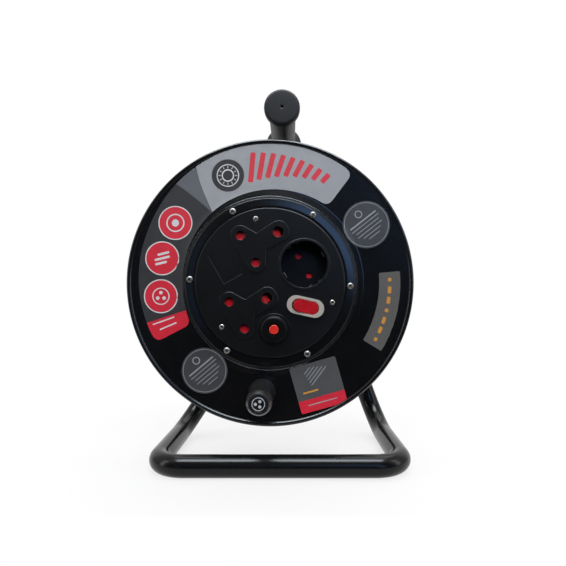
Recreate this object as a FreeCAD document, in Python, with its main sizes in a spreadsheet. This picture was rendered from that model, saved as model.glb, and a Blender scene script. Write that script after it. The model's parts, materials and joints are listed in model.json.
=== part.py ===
import FreeCAD, Part
import math
import os
import re
import Sketcher

# Extension cord reel: a steel drum with a socket unit, turning on an axle in a bent tube stand.
# Millimetres. X is across, Y is depth with the sockets facing -Y, Z is up and the floor is at zero.

SIZES = {
    # Stand tube
    "tube_diameter": 19,
    "tube_wall": 1.5,
    "rail_spacing": 210,
    "base_depth": 135.5,
    "front_bar_y": -57.25,
    "stand_x": 6.65,
    "handle_height": 309.7,
    "handle_offset": 2,
    "front_corner_radius": 25,
    "rear_bend_radius": 42,
    "handle_bend_radius": 28,
    "weld_stub_length": 30,
    # Axle and its fixing to the stand
    "axle_height": 162,
    "axle_offset": 7.8,
    "plate_thickness": 3,
    "plate_drop": 24,
    "plate_rise": 26,
    "plate_short_margin": 18,
    "plate_long_margin": 6,
    "plate_corner_radius": 6,
    "axle_radius": 8,
    "axle_collar_radius": 12,
    "axle_collar_length": 3,
    "axle_tail_radius": 6,
    "axle_tail_clearance": 0.15,
    "axle_end_length": 2,
    "axle_chamfer": 1,
    "saddle_radius": 13,
    "saddle_thickness": 3,
    "saddle_wrap": 5,
    "nut_flats": 19,
    "nut_height": 10,
    "thread_end_length": 2,
    "circlip_thickness": 1.1,
    "circlip_groove_depth": 0.5,
    "circlip_radius": 10.6,
    "circlip_opening": 4,
    "circlip_play": 0.05,
    "thrust_washer_thickness": 1.5,
    "thrust_washer_radius": 13,
    "hub_end_play": 0.1,
    # Hub
    "hub_running_clearance": 0.05,
    "hub_sleeve_radius": 14,
    "hub_length": 55,
    "hub_boss_length": 11.9,
    "hub_flange_radius": 32,
    "hub_flange_thickness": 4,
    "hub_seat_clearance": 0.3,
    "rivet_circle_radius": 24,
    "rivet_radius": 2,
    "rivet_head_radius": 4,
    "rivet_head_height": 1.6,
    # Drum
    "drum_width": 98,
    "flange_radius": 120,
    "sheet_thickness": 1,
    "bead_radius": 2,
    "ring_rise": 3,
    "pan_depth": 3,
    "ring_radius": 72.6,
    "slope_radius": 78.5,
    "core_radius": 71.2,
    "core_wall": 2,
    "post_circle_radius": 66.5,
    "post_radius": 4.2,
    "screw_start_angle": 2.4,
    "screw_hole_radius": 2.2,
    "pilot_radius": 1.6,
    "pilot_depth": 14,
    "inlet_angle": 27.6,
    "inlet_depth": 50,
    "inlet_hole_radius": 7,
    "inlet_bore_radius": 4.75,
    "inlet_lip_radius": 9.5,
    "inlet_lip_thickness": 1.6,
    "inlet_lip_gap": 0.9,
    # Screws
    "screw_head_radius": 2.8,
    "screw_head_height": 2.2,
    "screw_shank_radius": 1.55,
    "screw_length": 12,
    "screw_slot_length": 3,
    "screw_slot_width": 0.75,
    "screw_slot_depth": 1.2,
    # Knob
    "knob_across": 6.7,
    "knob_rim_margin": 28.8,
    "knob_length": 46.6,
    "knob_gap": 0.4,
    "knob_base_radius": 11.35,
    "knob_base_length": 7,
    "knob_waist_radius": 7.6,
    "knob_waist_depth": 19,
    "knob_bulb_radius": 10.2,
    "knob_bulb_depth": 37,
    "knob_front_radius": 7.2,
    "knob_bore_clearance": 0.06,
    "knob_recess_radius": 6.2,
    "knob_recess_depth": 5.4,
    "knob_cap_thickness": 1.8,
    "knob_cap_clearance": 0.05,
    "spindle_radius": 3.5,
    "spindle_head_radius": 5.4,
    "spindle_head_height": 2.4,
    "spindle_head_gap": 0.3,
    "spindle_tail_radius": 3,
    "spindle_tail_clearance": 0.1,
    "spindle_nut_height": 4,
    "spindle_nut_flats": 10,
    "spindle_thread_end": 1,
    # Grip
    "grip_length": 104,
    "grip_rear_gap": 1,
    "grip_body_radius": 11.6,
    "grip_front_radius": 15.2,
    "grip_front_length": 7,
    "grip_front_round": 2,
    "grip_rear_radius": 18.2,
    "grip_rear_length": 4.5,
    "grip_fit_gap": 0.05,
    "grip_end_wall": 3.5,
    "grip_vent_radius": 1.1,
    # Socket unit
    "face_radius": 62,
    "face_gap": 0.9,
    "face_rise": 2,
    "face_edge_round": 0.8,
    "lip_thickness": 2.5,
    "housing_radius": 60.5,
    "housing_wall": 2.5,
    "housing_depth": 50,
    "housing_post_radius": 3.9,
    "housing_entry_radius": 6,
    "housing_entry_drop": 12,
    "face_screw_circle": 54,
    "face_screw_angle": 42.5,
    "face_screw_head_radius": 2.4,
    "face_screw_recess": 1.4,
    "shutter_space": 3.6,
    "carrier_thickness": 3,
    "carrier_clearance": 0.4,
    # Three-pin sockets, in their own frame: earth along +X, live and neutral to the sides
    "upper_socket_across": 18,
    "upper_socket_up": 27.95,
    "lower_socket_across": 27.3,
    "lower_socket_down": 26.8,
    "socket_turn": 29.6,
    "pin_half_spacing": 12.7,
    "earth_distance": 28.6,
    "pin_hole_radius": 3.85,
    "earth_hole_radius": 4.55,
    "socket_pad_rise": 0.8,
    "pad_back_margin": 8,
    "pad_side_margin": 8,
    "pad_shoulder": 4.6,
    "pad_notch_distance": 12.2,
    "pad_notch_half_width": 7.75,
    "pad_head_margin": 8.6,
    "pad_head_half_width": 9.2,
    "pad_round": 7.6,
    "panel_across": 23.1,
    "panel_drop": 2.6,
    "panel_width": 17.3,
    "panel_height": 26,
    "panel_depth": 0.3,
    "sleeve_clearance": 0.25,
    "sleeve_wall": 0.9,
    "phase_sleeve_length": 20,
    "earth_sleeve_length": 14,
    "phase_pin_radius": 3.53,
    "earth_pin_radius": 4.36,
    "bus_thickness": 1,
    "bus_width": 8,
    "bus_eye_margin": 1.6,
    # Shutters
    "shutter_thickness": 2.8,
    "shutter_gap": 0.4,
    "shutter_lobe_radius": 4.9,
    "shutter_bridge_start": 0.9,
    "shutter_bridge_width": 4,
    "shutter_arm_width": 6.8,
    "shutter_arm_reach": 1.2,
    "shutter_ramp_depth": 2.2,
    "shutter_ramp_length": 4.2,
    "spring_post_distance": 11.2,
    "spring_post_radius": 1,
    "spring_radius": 1.2,
    "spring_wire": 0.4,
    "spring_pitch": 2.2,
    "spring_seat_gap": 0.1,
    # Two-pin socket
    "well_across": 28.3,
    "well_up": 15.3,
    "well_turn": 60.5,
    "well_radius": 19.4,
    "well_wall": 1.8,
    "well_depth": 17.5,
    "well_floor": 2.5,
    "well_skirt": 3,
    "well_rim_rise": 0.5,
    "well_pin_spacing": 19,
    "well_pin_hole_radius": 2.75,
    "key_width": 3,
    "key_height": 1.8,
    "key_spread": 4,
    "key_front": 1.5,
    "well_pivot_radius": 1.6,
    "pivot_clearance": 0.06,
    "well_shutter_thickness": 2,
    "well_shutter_lobe": 4,
    "well_shutter_bar": 5,
    "earth_spring_width": 5,
    "earth_spring_thickness": 0.8,
    "earth_spring_inset": 1.1,
    "earth_spring_front": 3,
    "earth_slot_gap": 0.3,
    "well_sleeve_radius": 2.5,
    "well_sleeve_length": 14,
    # Rocker switch
    "switch_across": 29.3,
    "switch_drop": 19.7,
    "switch_turn": 12.5,
    "bezel_length": 31,
    "bezel_width": 15.2,
    "bezel_rise": 1.6,
    "switch_body_length": 25.4,
    "switch_body_width": 13,
    "switch_body_depth": 22,
    "switch_corner_radius": 3.2,
    "switch_fit_gap": 0.2,
    "rocker_length": 22,
    "rocker_width": 10.4,
    "rocker_gap": 0.3,
    "rocker_cavity_depth": 9,
    "rocker_pivot_depth": 0.5,
    "rocker_pin_radius": 1.5,
    "rocker_pin_length": 0.9,
    "rocker_pin_clearance": 0.05,
    "rocker_rise": 2.6,
    "rocker_throw": 9,
    "rocker_crown_angle": 18,
    "rocker_end_angle": 14,
    "rocker_foot_reach": 3,
    "rocker_foot_depth": 6,
    "rocker_round_margin": 0.05,
    "terminal_width": 6.3,
    "terminal_thickness": 0.8,
    "terminal_length": 8,
    "switch_terminal_pitch": 9,
    # Overload breaker
    "breaker_across": 3.4,
    "breaker_drop": 38.6,
    "breaker_neck_radius": 6.4,
    "breaker_neck_clearance": 0.15,
    "breaker_body_width": 15,
    "breaker_body_height": 24,
    "breaker_body_depth": 27,
    "breaker_cut_gap": 0.5,
    "breaker_terminal_pitch": 12,
    "collar_rim_radius": 13.4,
    "collar_rim_height": 1.2,
    "collar_radius": 11.1,
    "collar_height": 3.4,
    "button_radius": 3.9,
    "button_clearance": 0.06,
    "button_rise": 0.8,
    "button_length": 9,
    "button_foot_radius": 4.9,
    "button_foot_length": 1.5,
    "button_travel": 3,
}

# Planes that follow from the sizes, counted along Y from the stand's legs towards the viewer
LEG_PLANE = "(front_bar_y + base_depth)"
PLATE_BACK = f"({LEG_PLANE} - tube_diameter / 2)"
PLATE_FRONT = f"({PLATE_BACK} - plate_thickness)"
HUB_BACK = f"({PLATE_FRONT} - axle_collar_length - thrust_washer_thickness - hub_end_play)"
HUB_FLANGE_BACK = f"({HUB_BACK} - hub_boss_length)"
PAN_BACK = f"({HUB_FLANGE_BACK} - hub_flange_thickness)"
FACE_Y = f"({PAN_BACK} - pan_depth - drum_width)"
DRUM_X = "(stand_x - axle_offset)"

# Sideways lean of each leg for a unit of height
SHORT_LEAN = "((rail_spacing / 2 - axle_offset) / (axle_height - tube_diameter / 2))"
LONG_LEAN = "((rail_spacing / 2 - handle_offset) / (handle_height - tube_diameter / 2))"

# Depths behind the front flange's flat, which is the zero plane of every drum piece
RING_FRONT = "(0 - ring_rise)"
LIP_FRONT = "(sheet_thickness - ring_rise)"
CORE_FRONT = f"({LIP_FRONT} + lip_thickness)"
CORE_BACK = "(drum_width + pan_depth - sheet_thickness)"
SOCKET_FRONT = "(0 - ring_rise - face_rise)"
HOUSING_BACK = f"({LIP_FRONT} + housing_depth)"
CARRIER_FRONT = f"({LIP_FRONT} + shutter_space)"
CARRIER_BACK = f"({CARRIER_FRONT} + carrier_thickness)"
WELL_FLOOR_FRONT = f"({SOCKET_FRONT} + well_depth)"
WELL_FLOOR_BACK = f"({WELL_FLOOR_FRONT} + well_floor)"
WELL_CARRIER_FRONT = f"({WELL_FLOOR_BACK} + well_skirt)"
WELL_CARRIER_BACK = f"({WELL_CARRIER_FRONT} + carrier_thickness)"
HUB_BORE_RADIUS = "(axle_radius + hub_running_clearance)"
FLANGE_HOLE_RADIUS = "(face_radius + face_gap)"
KNOB_DROP = "(flange_radius - knob_rim_margin)"
BREAKER_NECK_BORE = "(button_radius + button_clearance)"

# Every socket-unit piece that lies across the plate has its turn counted one way or the other
UPPER_SOCKET = ("0 - upper_socket_across", "upper_socket_up", "socket_turn", False)
LOWER_SOCKET = ("0 - lower_socket_across", "0 - lower_socket_down", "socket_turn", False)
WELL = ("well_across", "well_up", "well_turn", True)
SWITCH = ("switch_across", "0 - switch_drop", "switch_turn", True)
BREAKER = ("breaker_across", "0 - breaker_drop", "0", False)

doc = FreeCAD.newDocument("CordReel")
sheet = doc.addObject("Spreadsheet::Sheet", "Sizes")
parts = []


def fill_sheet():
    """Write each driving size as a number beside its name."""
    for row, (name, size) in enumerate(SIZES.items(), start=1):
        sheet.set(f"A{row}", name)
        sheet.set(f"B{row}", str(size))
        sheet.setAlias(f"B{row}", name)
    doc.recompute()


def bound(expression):
    """Point every size's name in an expression at its cell in the sheet."""
    return re.sub(r"[a-z][a-z_]*", lambda word: "Sizes." + word[0] if word[0] in SIZES else word[0],
                  expression)


def number(expression):
    """Work out an expression of sizes as a plain number."""
    return float(sheet.evalExpression(bound(expression)))


def place(piece, across, depth, up, turn=None, clockwise=False):
    """Put a piece at a place given by expressions, turned about the depth axis as seen from the front."""
    if turn is not None:
        piece.Placement.Rotation = FreeCAD.Rotation(FreeCAD.Vector(0, 1 if clockwise else -1, 0), 10)
        piece.setExpression("Placement.Rotation.Angle", bound(turn))
    piece.setExpression("Placement.Base.x", bound(across))
    piece.setExpression("Placement.Base.y", bound(depth))
    piece.setExpression("Placement.Base.z", bound(up))


def new_body(label):
    """Start a sub-part and list it for export."""
    body = doc.addObject("PartDesign::Body", label)
    body.Label = label
    parts.append(body)
    return body


def drum_body(label, spot=None):
    """Start a sub-part in the drum's frame, or in the frame of one spot on the socket unit."""
    body = new_body(label)
    if spot is None:
        place(body, DRUM_X, FACE_Y, "axle_height")
    else:
        across, up, turn, clockwise = spot
        place(body, f"{DRUM_X} + ({across})", FACE_Y, f"axle_height + ({up})", turn, clockwise)
    return body


def origin_feature(body, role):
    """Find one of a body's own origin planes or axes."""
    return [feature for feature in body.Origin.OriginFeatures if feature.Role == role][0]


def plan_sketch(body, name):
    """Open a sketch on the body's XY plane, for outlines of radius against depth."""
    sketch = body.newObject("Sketcher::SketchObject", name)
    sketch.AttachmentSupport = [(origin_feature(body, "XY_Plane"), "")]
    sketch.MapMode = "FlatFace"
    return sketch


def front_sketch(body, name, depth="0", spot=None):
    """Open a sketch seen from the front at a depth, in the body's frame or in the frame of a spot."""
    sketch = body.newObject("Sketcher::SketchObject", name)
    sketch.AttachmentSupport = [(origin_feature(body, "XZ_Plane"), "")]
    sketch.MapMode = "FlatFace"
    if spot is not None:
        across, up, turn, clockwise = spot
        turned = FreeCAD.Rotation(FreeCAD.Vector(0, 0, -1 if clockwise else 1), 10)
        sketch.AttachmentOffset = FreeCAD.Placement(FreeCAD.Vector(0, 0, 0), turned)
        sketch.setExpression("AttachmentOffset.Rotation.Angle", bound(turn))
        sketch.setExpression("AttachmentOffset.Base.x", bound(across))
        sketch.setExpression("AttachmentOffset.Base.y", bound(up))
    sketch.setExpression("AttachmentOffset.Base.z", bound(f"0 - ({depth})"))
    return sketch


def tie(sketch, kind, elements, expression):
    """Add one dimension to a sketch and bind it to the sheet."""
    constraint = sketch.addConstraint(Sketcher.Constraint(kind, *elements, number(expression)))
    sketch.setExpression(f"Constraints[{constraint}]", bound(expression))


def add_outline(sketch, corners):
    """Draw a closed outline of straight lines, each corner tied to two sizes."""
    first = sketch.GeometryCount
    count = len(corners)
    spots = [FreeCAD.Vector(number(across), number(up), 0) for across, up in corners]
    for index in range(count):
        sketch.addGeometry(Part.LineSegment(spots[index], spots[(index + 1) % count]), False)
    for index in range(count):
        following = first + (index + 1) % count
        sketch.addConstraint(Sketcher.Constraint("Coincident", first + index, 2, following, 1))
    for index, (across, up) in enumerate(corners):
        tie(sketch, "DistanceX", (-1, 1, first + index, 1), across)
        tie(sketch, "DistanceY", (-1, 1, first + index, 1), up)
    return sketch


def add_circle(sketch, across, up, radius):
    """Draw a circle whose centre and radius are tied to sizes."""
    centre = FreeCAD.Vector(number(across), number(up), 0)
    circle = sketch.addGeometry(Part.Circle(centre, FreeCAD.Vector(0, 0, 1), number(radius)), False)
    tie(sketch, "DistanceX", (-1, 1, circle, 3), across)
    tie(sketch, "DistanceY", (-1, 1, circle, 3), up)
    tie(sketch, "Radius", (circle,), radius)
    return sketch


def add_box(sketch, length, width, across="0", up="0"):
    """Draw a rectangle about a centre."""
    left = f"({across}) - ({length}) / 2"
    right = f"({across}) + ({length}) / 2"
    low = f"({up}) - ({width}) / 2"
    high = f"({up}) + ({width}) / 2"
    return add_outline(sketch, [(left, low), (right, low), (right, high), (left, high)])


def turn_outline(body, name, corners):
    """Turn an outline of radius against depth round the body's depth axis."""
    sketch = add_outline(plan_sketch(body, name + "_outline"), corners)
    return turn_sketch(body, name, sketch)


def turn_sketch(body, name, sketch):
    """Turn a finished sketch through a full circle round its own vertical axis."""
    turned = body.newObject("PartDesign::Revolution", name)
    turned.Profile = sketch
    turned.ReferenceAxis = (sketch, ["V_Axis"])
    turned.Angle = 360
    doc.recompute()
    return turned


def pad(body, name, sketch, length):
    """Build a sketch backwards, away from the viewer."""
    grown = body.newObject("PartDesign::Pad", name)
    grown.Profile = sketch
    grown.setExpression("Length", bound(length))
    grown.Reversed = True
    doc.recompute()
    return grown


def pocket(body, name, sketch, depth):
    """Cut a sketch backwards into the body and make sure that it removes something."""
    before = body.Shape.Volume
    cut = body.newObject("PartDesign::Pocket", name)
    cut.Profile = sketch
    cut.setExpression("Length", bound(depth))
    doc.recompute()
    if body.Shape.Volume >= before:
        raise RuntimeError(f"{body.Label}: {name} cuts nothing")
    return cut


def ring_of(body, features, count):
    """Repeat features evenly round the body's depth axis."""
    pattern = body.newObject("PartDesign::PolarPattern", body.Label + "_pattern")
    pattern.Originals = features
    pattern.Axis = (origin_feature(body, "Y_Axis"), [""])
    pattern.Angle = 360
    pattern.Occurrences = count
    body.Tip = pattern
    doc.recompute()
    return pattern


def soften(body, kind, wanted, radius, keep):
    """Round or bevel the edges of a feature that a test picks."""
    names = [f"Edge{index}" for index, edge in enumerate(wanted.Shape.Edges, start=1) if keep(edge)]
    if not names:
        raise RuntimeError(f"{body.Label}: no edge to soften")
    softened = body.newObject("PartDesign::" + kind, f"{body.Label}_{kind.lower()}")
    softened.Base = (wanted, names)
    softened.setExpression("Radius" if kind == "Fillet" else "Size", bound(radius))
    doc.recompute()
    return softened


def runs_deep(edge):
    """Tell whether an edge is straight and runs along the depth axis."""
    if edge.Curve.TypeId != "Part::GeomLine":
        return False
    return abs(edge.Curve.Direction.y) > 0.999


def is_circle(edge, radius, depth):
    """Tell whether an edge is a full circle of a radius at a depth in the body's frame."""
    if edge.Curve.TypeId != "Part::GeomCircle" or not edge.isClosed():
        return False
    return abs(edge.Curve.Radius - radius) < 0.01 and abs(edge.Curve.Center.y - depth) < 0.01


def bent_path(corners, radii):
    """Join corners with straight runs and tangent arcs."""
    edges = []
    start = corners[0]
    for before, corner, after, radius in zip(corners, corners[1:], corners[2:], radii):
        inward = (before - corner).normalize()
        outward = (after - corner).normalize()
        half_turn = (math.pi - inward.getAngle(outward)) / 2
        reach = radius * math.tan(half_turn)
        arc_start = corner + inward * reach
        arc_end = corner + outward * reach
        towards_centre = (inward + outward).normalize()
        arc_middle = corner + towards_centre * (radius / math.cos(half_turn) - radius)
        edges.append(Part.LineSegment(start, arc_start).toShape())
        edges.append(Part.Arc(arc_start, arc_middle, arc_end).toShape())
        start = arc_end
    edges.append(Part.LineSegment(start, corners[-1]).toShape())
    return Part.Wire(edges)


def sweep_circle(path, radius):
    """Sweep a circle along a bent path."""
    start = path.Edges[0].Vertexes[0].Point
    direction = path.Edges[0].Curve.Direction
    section = Part.Wire([Part.Circle(start, direction, radius).toShape()])
    return path.makePipeShell([section], True, False)


def make_stand_tube():
    """Bend the stand: grip end, long leg, base and short leg, the last coped and welded to the long leg."""
    radius = number("tube_diameter / 2")
    bore = number("tube_diameter / 2 - tube_wall")
    middle = number("stand_x")
    handle = number("stand_x + handle_offset")
    half = number("rail_spacing / 2")
    legs = number(LEG_PLANE)
    bar = number("front_bar_y")
    top = number("handle_height")
    handle_front = number(f"{LEG_PLANE} - handle_bend_radius - grip_rear_gap - grip_length + grip_end_wall")
    short_lean = number(SHORT_LEAN)
    long_lean = number(LONG_LEAN)
    weld_rise = 2 * half / (short_lean + long_lean)
    weld = FreeCAD.Vector(middle - half + short_lean * weld_rise, legs, radius + weld_rise)
    short_foot = FreeCAD.Vector(middle - half, legs, radius)
    along_short = (weld - short_foot).normalize()
    stub_start = weld - along_short * number("weld_stub_length")
    corners = [
        FreeCAD.Vector(handle, handle_front, top),
        FreeCAD.Vector(handle, legs, top),
        FreeCAD.Vector(middle + half, legs, radius),
        FreeCAD.Vector(middle + half, bar, radius),
        FreeCAD.Vector(middle - half, bar, radius),
        short_foot,
        stub_start,
    ]
    radii = [number("handle_bend_radius"), number("rear_bend_radius"), number("front_corner_radius"),
             number("front_corner_radius"), number("rear_bend_radius")]
    path = bent_path(corners, radii)
    long_top = corners[1]
    along_long = (corners[2] - long_top).normalize()
    long_leg = Part.makeCylinder(radius, (corners[2] - long_top).Length, long_top, along_long)
    stub_length = (weld - stub_start).Length
    stub = Part.makeCylinder(radius, stub_length, stub_start, along_short)
    stub = stub.cut(Part.makeCylinder(bore, stub_length, stub_start, along_short)).cut(long_leg)
    shape = sweep_circle(path, radius).cut(sweep_circle(path, bore)).fuse(stub)
    hole = number("axle_tail_radius + axle_tail_clearance")
    axle_hole = Part.makeCylinder(hole, 4 * radius, FreeCAD.Vector(number(DRUM_X), legs - 2 * radius,
                                                                  number("axle_height")),
                                  FreeCAD.Vector(0, 1, 0))
    shape = shape.cut(axle_hole).removeSplitter()
    if len(shape.Solids) != 1:
        raise RuntimeError("the stand tube is not one solid")
    tube = doc.addObject("Part::Feature", "stand_tube")
    tube.Shape = shape.Solids[0]
    tube.Label = "stand_tube"
    tube.Placement = FreeCAD.Placement()
    parts.append(tube)


def make_axle_plate():
    """Plate on the front of both legs, its sides following them."""
    body = new_body("axle_plate")
    place(body, DRUM_X, PLATE_FRONT, "axle_height")
    left = SHORT_LEAN + " * ({}) - plate_short_margin"
    right = ("axle_offset + rail_spacing / 2 + plate_long_margin - " + LONG_LEAN
             + " * (axle_height - tube_diameter / 2 + ({}))")
    low = "0 - plate_drop"
    high = "plate_rise"
    sketch = add_outline(front_sketch(body, "plate_outline"), [
        (left.format(low), low), (right.format(low), low), (right.format(high), high),
        (left.format(high), high)])
    blank = pad(body, "blank", sketch, "plate_thickness")
    soften(body, "Fillet", blank, "plate_corner_radius", runs_deep)
    hole = add_circle(front_sketch(body, "tail_hole"), "0", "0", "axle_tail_radius + axle_tail_clearance")
    pocket(body, "tail_bore", hole, "plate_thickness")


def make_axle():
    """Shaft with a journal for the hub, a collar on the plate and a threaded tail."""
    body = new_body("axle")
    place(body, DRUM_X, PLATE_FRONT, "axle_height")
    washers = "axle_collar_length + 2 * thrust_washer_thickness + 2 * hub_end_play + hub_length"
    groove_back = f"0 - ({washers})"
    groove_front = f"0 - ({washers} + circlip_thickness + 2 * circlip_play)"
    front = f"0 - ({washers} + circlip_thickness + 2 * circlip_play + axle_end_length)"
    tail = "plate_thickness + tube_diameter + saddle_thickness + nut_height + thread_end_length"
    groove = "axle_radius - circlip_groove_depth"
    turn_outline(body, "shaft", [
        ("0", front), ("axle_radius - axle_chamfer", front), ("axle_radius", f"{front} + axle_chamfer"),
        ("axle_radius", groove_front), (groove, groove_front), (groove, groove_back),
        ("axle_radius", groove_back), ("axle_radius", "0 - axle_collar_length"),
        ("axle_collar_radius", "0 - axle_collar_length"), ("axle_collar_radius", "0"),
        ("axle_tail_radius", "0"), ("axle_tail_radius", f"{tail} - axle_chamfer"),
        ("axle_tail_radius - axle_chamfer", tail), ("0", tail)])


def make_washer(label, front, outer):
    """Flat ring on the axle's journal, placed from the plate's front."""
    body = new_body(label)
    place(body, DRUM_X, f"{PLATE_FRONT} + ({front})", "axle_height")
    sketch = add_circle(front_sketch(body, "ring"), "0", "0", outer)
    add_circle(sketch, "0", "0", HUB_BORE_RADIUS)
    pad(body, "washer", sketch, "thrust_washer_thickness")


def make_circlip():
    """Open spring ring in the journal's groove."""
    body = new_body("axle_circlip")
    depth = ("axle_collar_length + 2 * thrust_washer_thickness + 2 * hub_end_play + hub_length"
             " + circlip_play + circlip_thickness")
    place(body, DRUM_X, f"{PLATE_FRONT} - ({depth})", "axle_height")
    sketch = add_circle(front_sketch(body, "ring"), "0", "0", "circlip_radius")
    add_circle(sketch, "0", "0", "axle_radius - circlip_groove_depth + circlip_play")
    pad(body, "clip", sketch, "circlip_thickness")
    mouth = add_box(front_sketch(body, "mouth"), "circlip_opening", "circlip_radius", "0",
                    "0 - circlip_radius")
    pocket(body, "opening", mouth, "circlip_thickness")


def make_saddle_washer():
    """Round block behind the short leg, hollowed to the leg's tube."""
    block = doc.addObject("Part::Cylinder", "saddle_block")
    block.setExpression("Radius", bound("saddle_radius"))
    block.setExpression("Height", bound("saddle_thickness + saddle_wrap"))
    block.Placement.Rotation = FreeCAD.Rotation(FreeCAD.Vector(1, 0, 0), -90)
    place(block, DRUM_X, f"{LEG_PLANE} + tube_diameter / 2 - saddle_wrap", "axle_height")
    leg = doc.addObject("Part::Cylinder", "saddle_leg")
    leg.setExpression("Radius", bound("tube_diameter / 2"))
    leg.setExpression("Height", bound("4 * saddle_radius"))
    lean = FreeCAD.Rotation(FreeCAD.Vector(0, 1, 0), 10)
    leg.Placement = FreeCAD.Placement(FreeCAD.Vector(0, 0, 0), lean)
    leg.setExpression("Placement.Rotation.Angle", bound(f"atan({SHORT_LEAN})"))
    below = f"2 * saddle_radius * {{}}(atan({SHORT_LEAN}))"
    place(leg, f"{DRUM_X} - {below.format('sin')}", LEG_PLANE, f"axle_height - {below.format('cos')}")
    bore = doc.addObject("Part::Cylinder", "saddle_bore")
    bore.setExpression("Radius", bound("axle_tail_radius + axle_tail_clearance"))
    bore.setExpression("Height", bound("2 * tube_diameter"))
    bore.Placement.Rotation = FreeCAD.Rotation(FreeCAD.Vector(1, 0, 0), -90)
    place(bore, DRUM_X, LEG_PLANE, "axle_height")
    hollowed = doc.addObject("Part::Cut", "saddle_hollowed")
    hollowed.Base = block
    hollowed.Tool = leg
    washer = doc.addObject("Part::Cut", "saddle_washer")
    washer.Base = hollowed
    washer.Tool = bore
    washer.Label = "saddle_washer"
    doc.recompute()
    parts.append(washer)


def make_nut(label, across, front, up, flats, height, bore):
    """Hexagon nut, one flat upwards."""
    body = new_body(label)
    place(body, across, front, up)
    corner = f"({flats}) / 2 / cos(30)"
    points = [(f"{corner} * cos({turn})", f"{corner} * sin({turn})") for turn in range(0, 360, 60)]
    blank = pad(body, "blank", add_outline(front_sketch(body, "hexagon"), points), height)
    hole = add_circle(front_sketch(body, "thread"), "0", "0", bore)
    pocket(body, "bore", hole, height)
    return blank


def make_grip():
    """Rubber grip with a closed front end, a vent and a rear flange."""
    body = new_body("grip")
    front = f"{LEG_PLANE} - handle_bend_radius - grip_rear_gap - grip_length"
    place(body, "stand_x + handle_offset", front, "handle_height")
    bore = "tube_diameter / 2 + grip_fit_gap"
    rear = "grip_length - grip_rear_length"
    turned = turn_outline(body, "grip_skin", [
        ("grip_vent_radius", "0"), ("grip_front_radius", "0"), ("grip_front_radius", "grip_front_length"),
        ("grip_body_radius", "grip_front_length + grip_front_radius - grip_body_radius"),
        ("grip_body_radius", f"{rear} - 2 * (grip_rear_radius - grip_body_radius) / 3"),
        ("grip_rear_radius", rear), ("grip_rear_radius", "grip_length"),
        (bore, "grip_length"), (bore, "grip_end_wall"), ("grip_vent_radius", "grip_end_wall")])
    front_radius = number("grip_front_radius")
    rear_radius = number("grip_rear_radius")
    reach = number("grip_length")

    def keep(edge):
        return is_circle(edge, front_radius, 0) or is_circle(edge, rear_radius, reach)
    soften(body, "Fillet", turned, "grip_front_round", keep)


def add_bead(body, depth):
    """Roll the flange's rim into a bead."""
    sketch = add_circle(plan_sketch(body, "bead_outline"), "flange_radius - bead_radius", depth,
                        "bead_radius")
    return turn_sketch(body, "bead", sketch)


def screw_holes(body, name, front, depth, radius, count=6):
    """Cut a ring of holes over the core's posts."""
    across = "post_circle_radius * cos(screw_start_angle)"
    up = "0 - post_circle_radius * sin(screw_start_angle)"
    hole = add_circle(front_sketch(body, name + "_outline", front), across, up, radius)
    return ring_of(body, [pocket(body, name, hole, depth)], count)


def make_front_flange():
    """Pressed disc with a raised ring round the socket unit."""
    body = drum_body("front_flange")
    half = "sheet_thickness / 2"
    rim = "flange_radius - bead_radius"
    turn_outline(body, "pressing", [
        (FLANGE_HOLE_RADIUS, RING_FRONT), ("ring_radius", RING_FRONT), ("slope_radius", "0"), (rim, "0"),
        (rim, "sheet_thickness"), (f"slope_radius - {half}", "sheet_thickness"),
        (f"ring_radius - {half}", LIP_FRONT), (FLANGE_HOLE_RADIUS, LIP_FRONT)])
    add_bead(body, "sheet_thickness / 2")
    hole = add_circle(front_sketch(body, "spindle_outline"), "0 - knob_across", f"0 - {KNOB_DROP}",
                      "spindle_tail_radius + spindle_tail_clearance")
    pocket(body, "spindle_hole", hole, "sheet_thickness")
    screw_holes(body, "screw_hole", RING_FRONT, "sheet_thickness", "screw_hole_radius")


def make_rear_flange():
    """Pressed disc with a raised pan that carries the hub."""
    body = drum_body("rear_flange")
    half = "sheet_thickness / 2"
    rim = "flange_radius - bead_radius"
    hub_hole = "hub_sleeve_radius + hub_seat_clearance"
    back = "drum_width + pan_depth"
    turn_outline(body, "pressing", [
        (hub_hole, back), ("ring_radius", back), ("slope_radius", "drum_width"), (rim, "drum_width"),
        (rim, "drum_width - sheet_thickness"), (f"slope_radius - {half}", "drum_width - sheet_thickness"),
        (f"ring_radius - {half}", CORE_BACK), (hub_hole, CORE_BACK)])
    add_bead(body, f"drum_width - {half}")
    rivet = add_circle(front_sketch(body, "rivet_outline", CORE_BACK), "rivet_circle_radius", "0",
                       "rivet_radius")
    cut = pocket(body, "rivet_hole", rivet, "sheet_thickness")
    ring_of(body, [cut], 4)
    across = "post_circle_radius * cos(screw_start_angle)"
    up = "0 - post_circle_radius * sin(screw_start_angle)"
    hole = add_circle(front_sketch(body, "screw_outline", CORE_BACK), across, up, "screw_hole_radius")
    ring_of(body, [pocket(body, "screw_hole", hole, "sheet_thickness")], 6)


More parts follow.
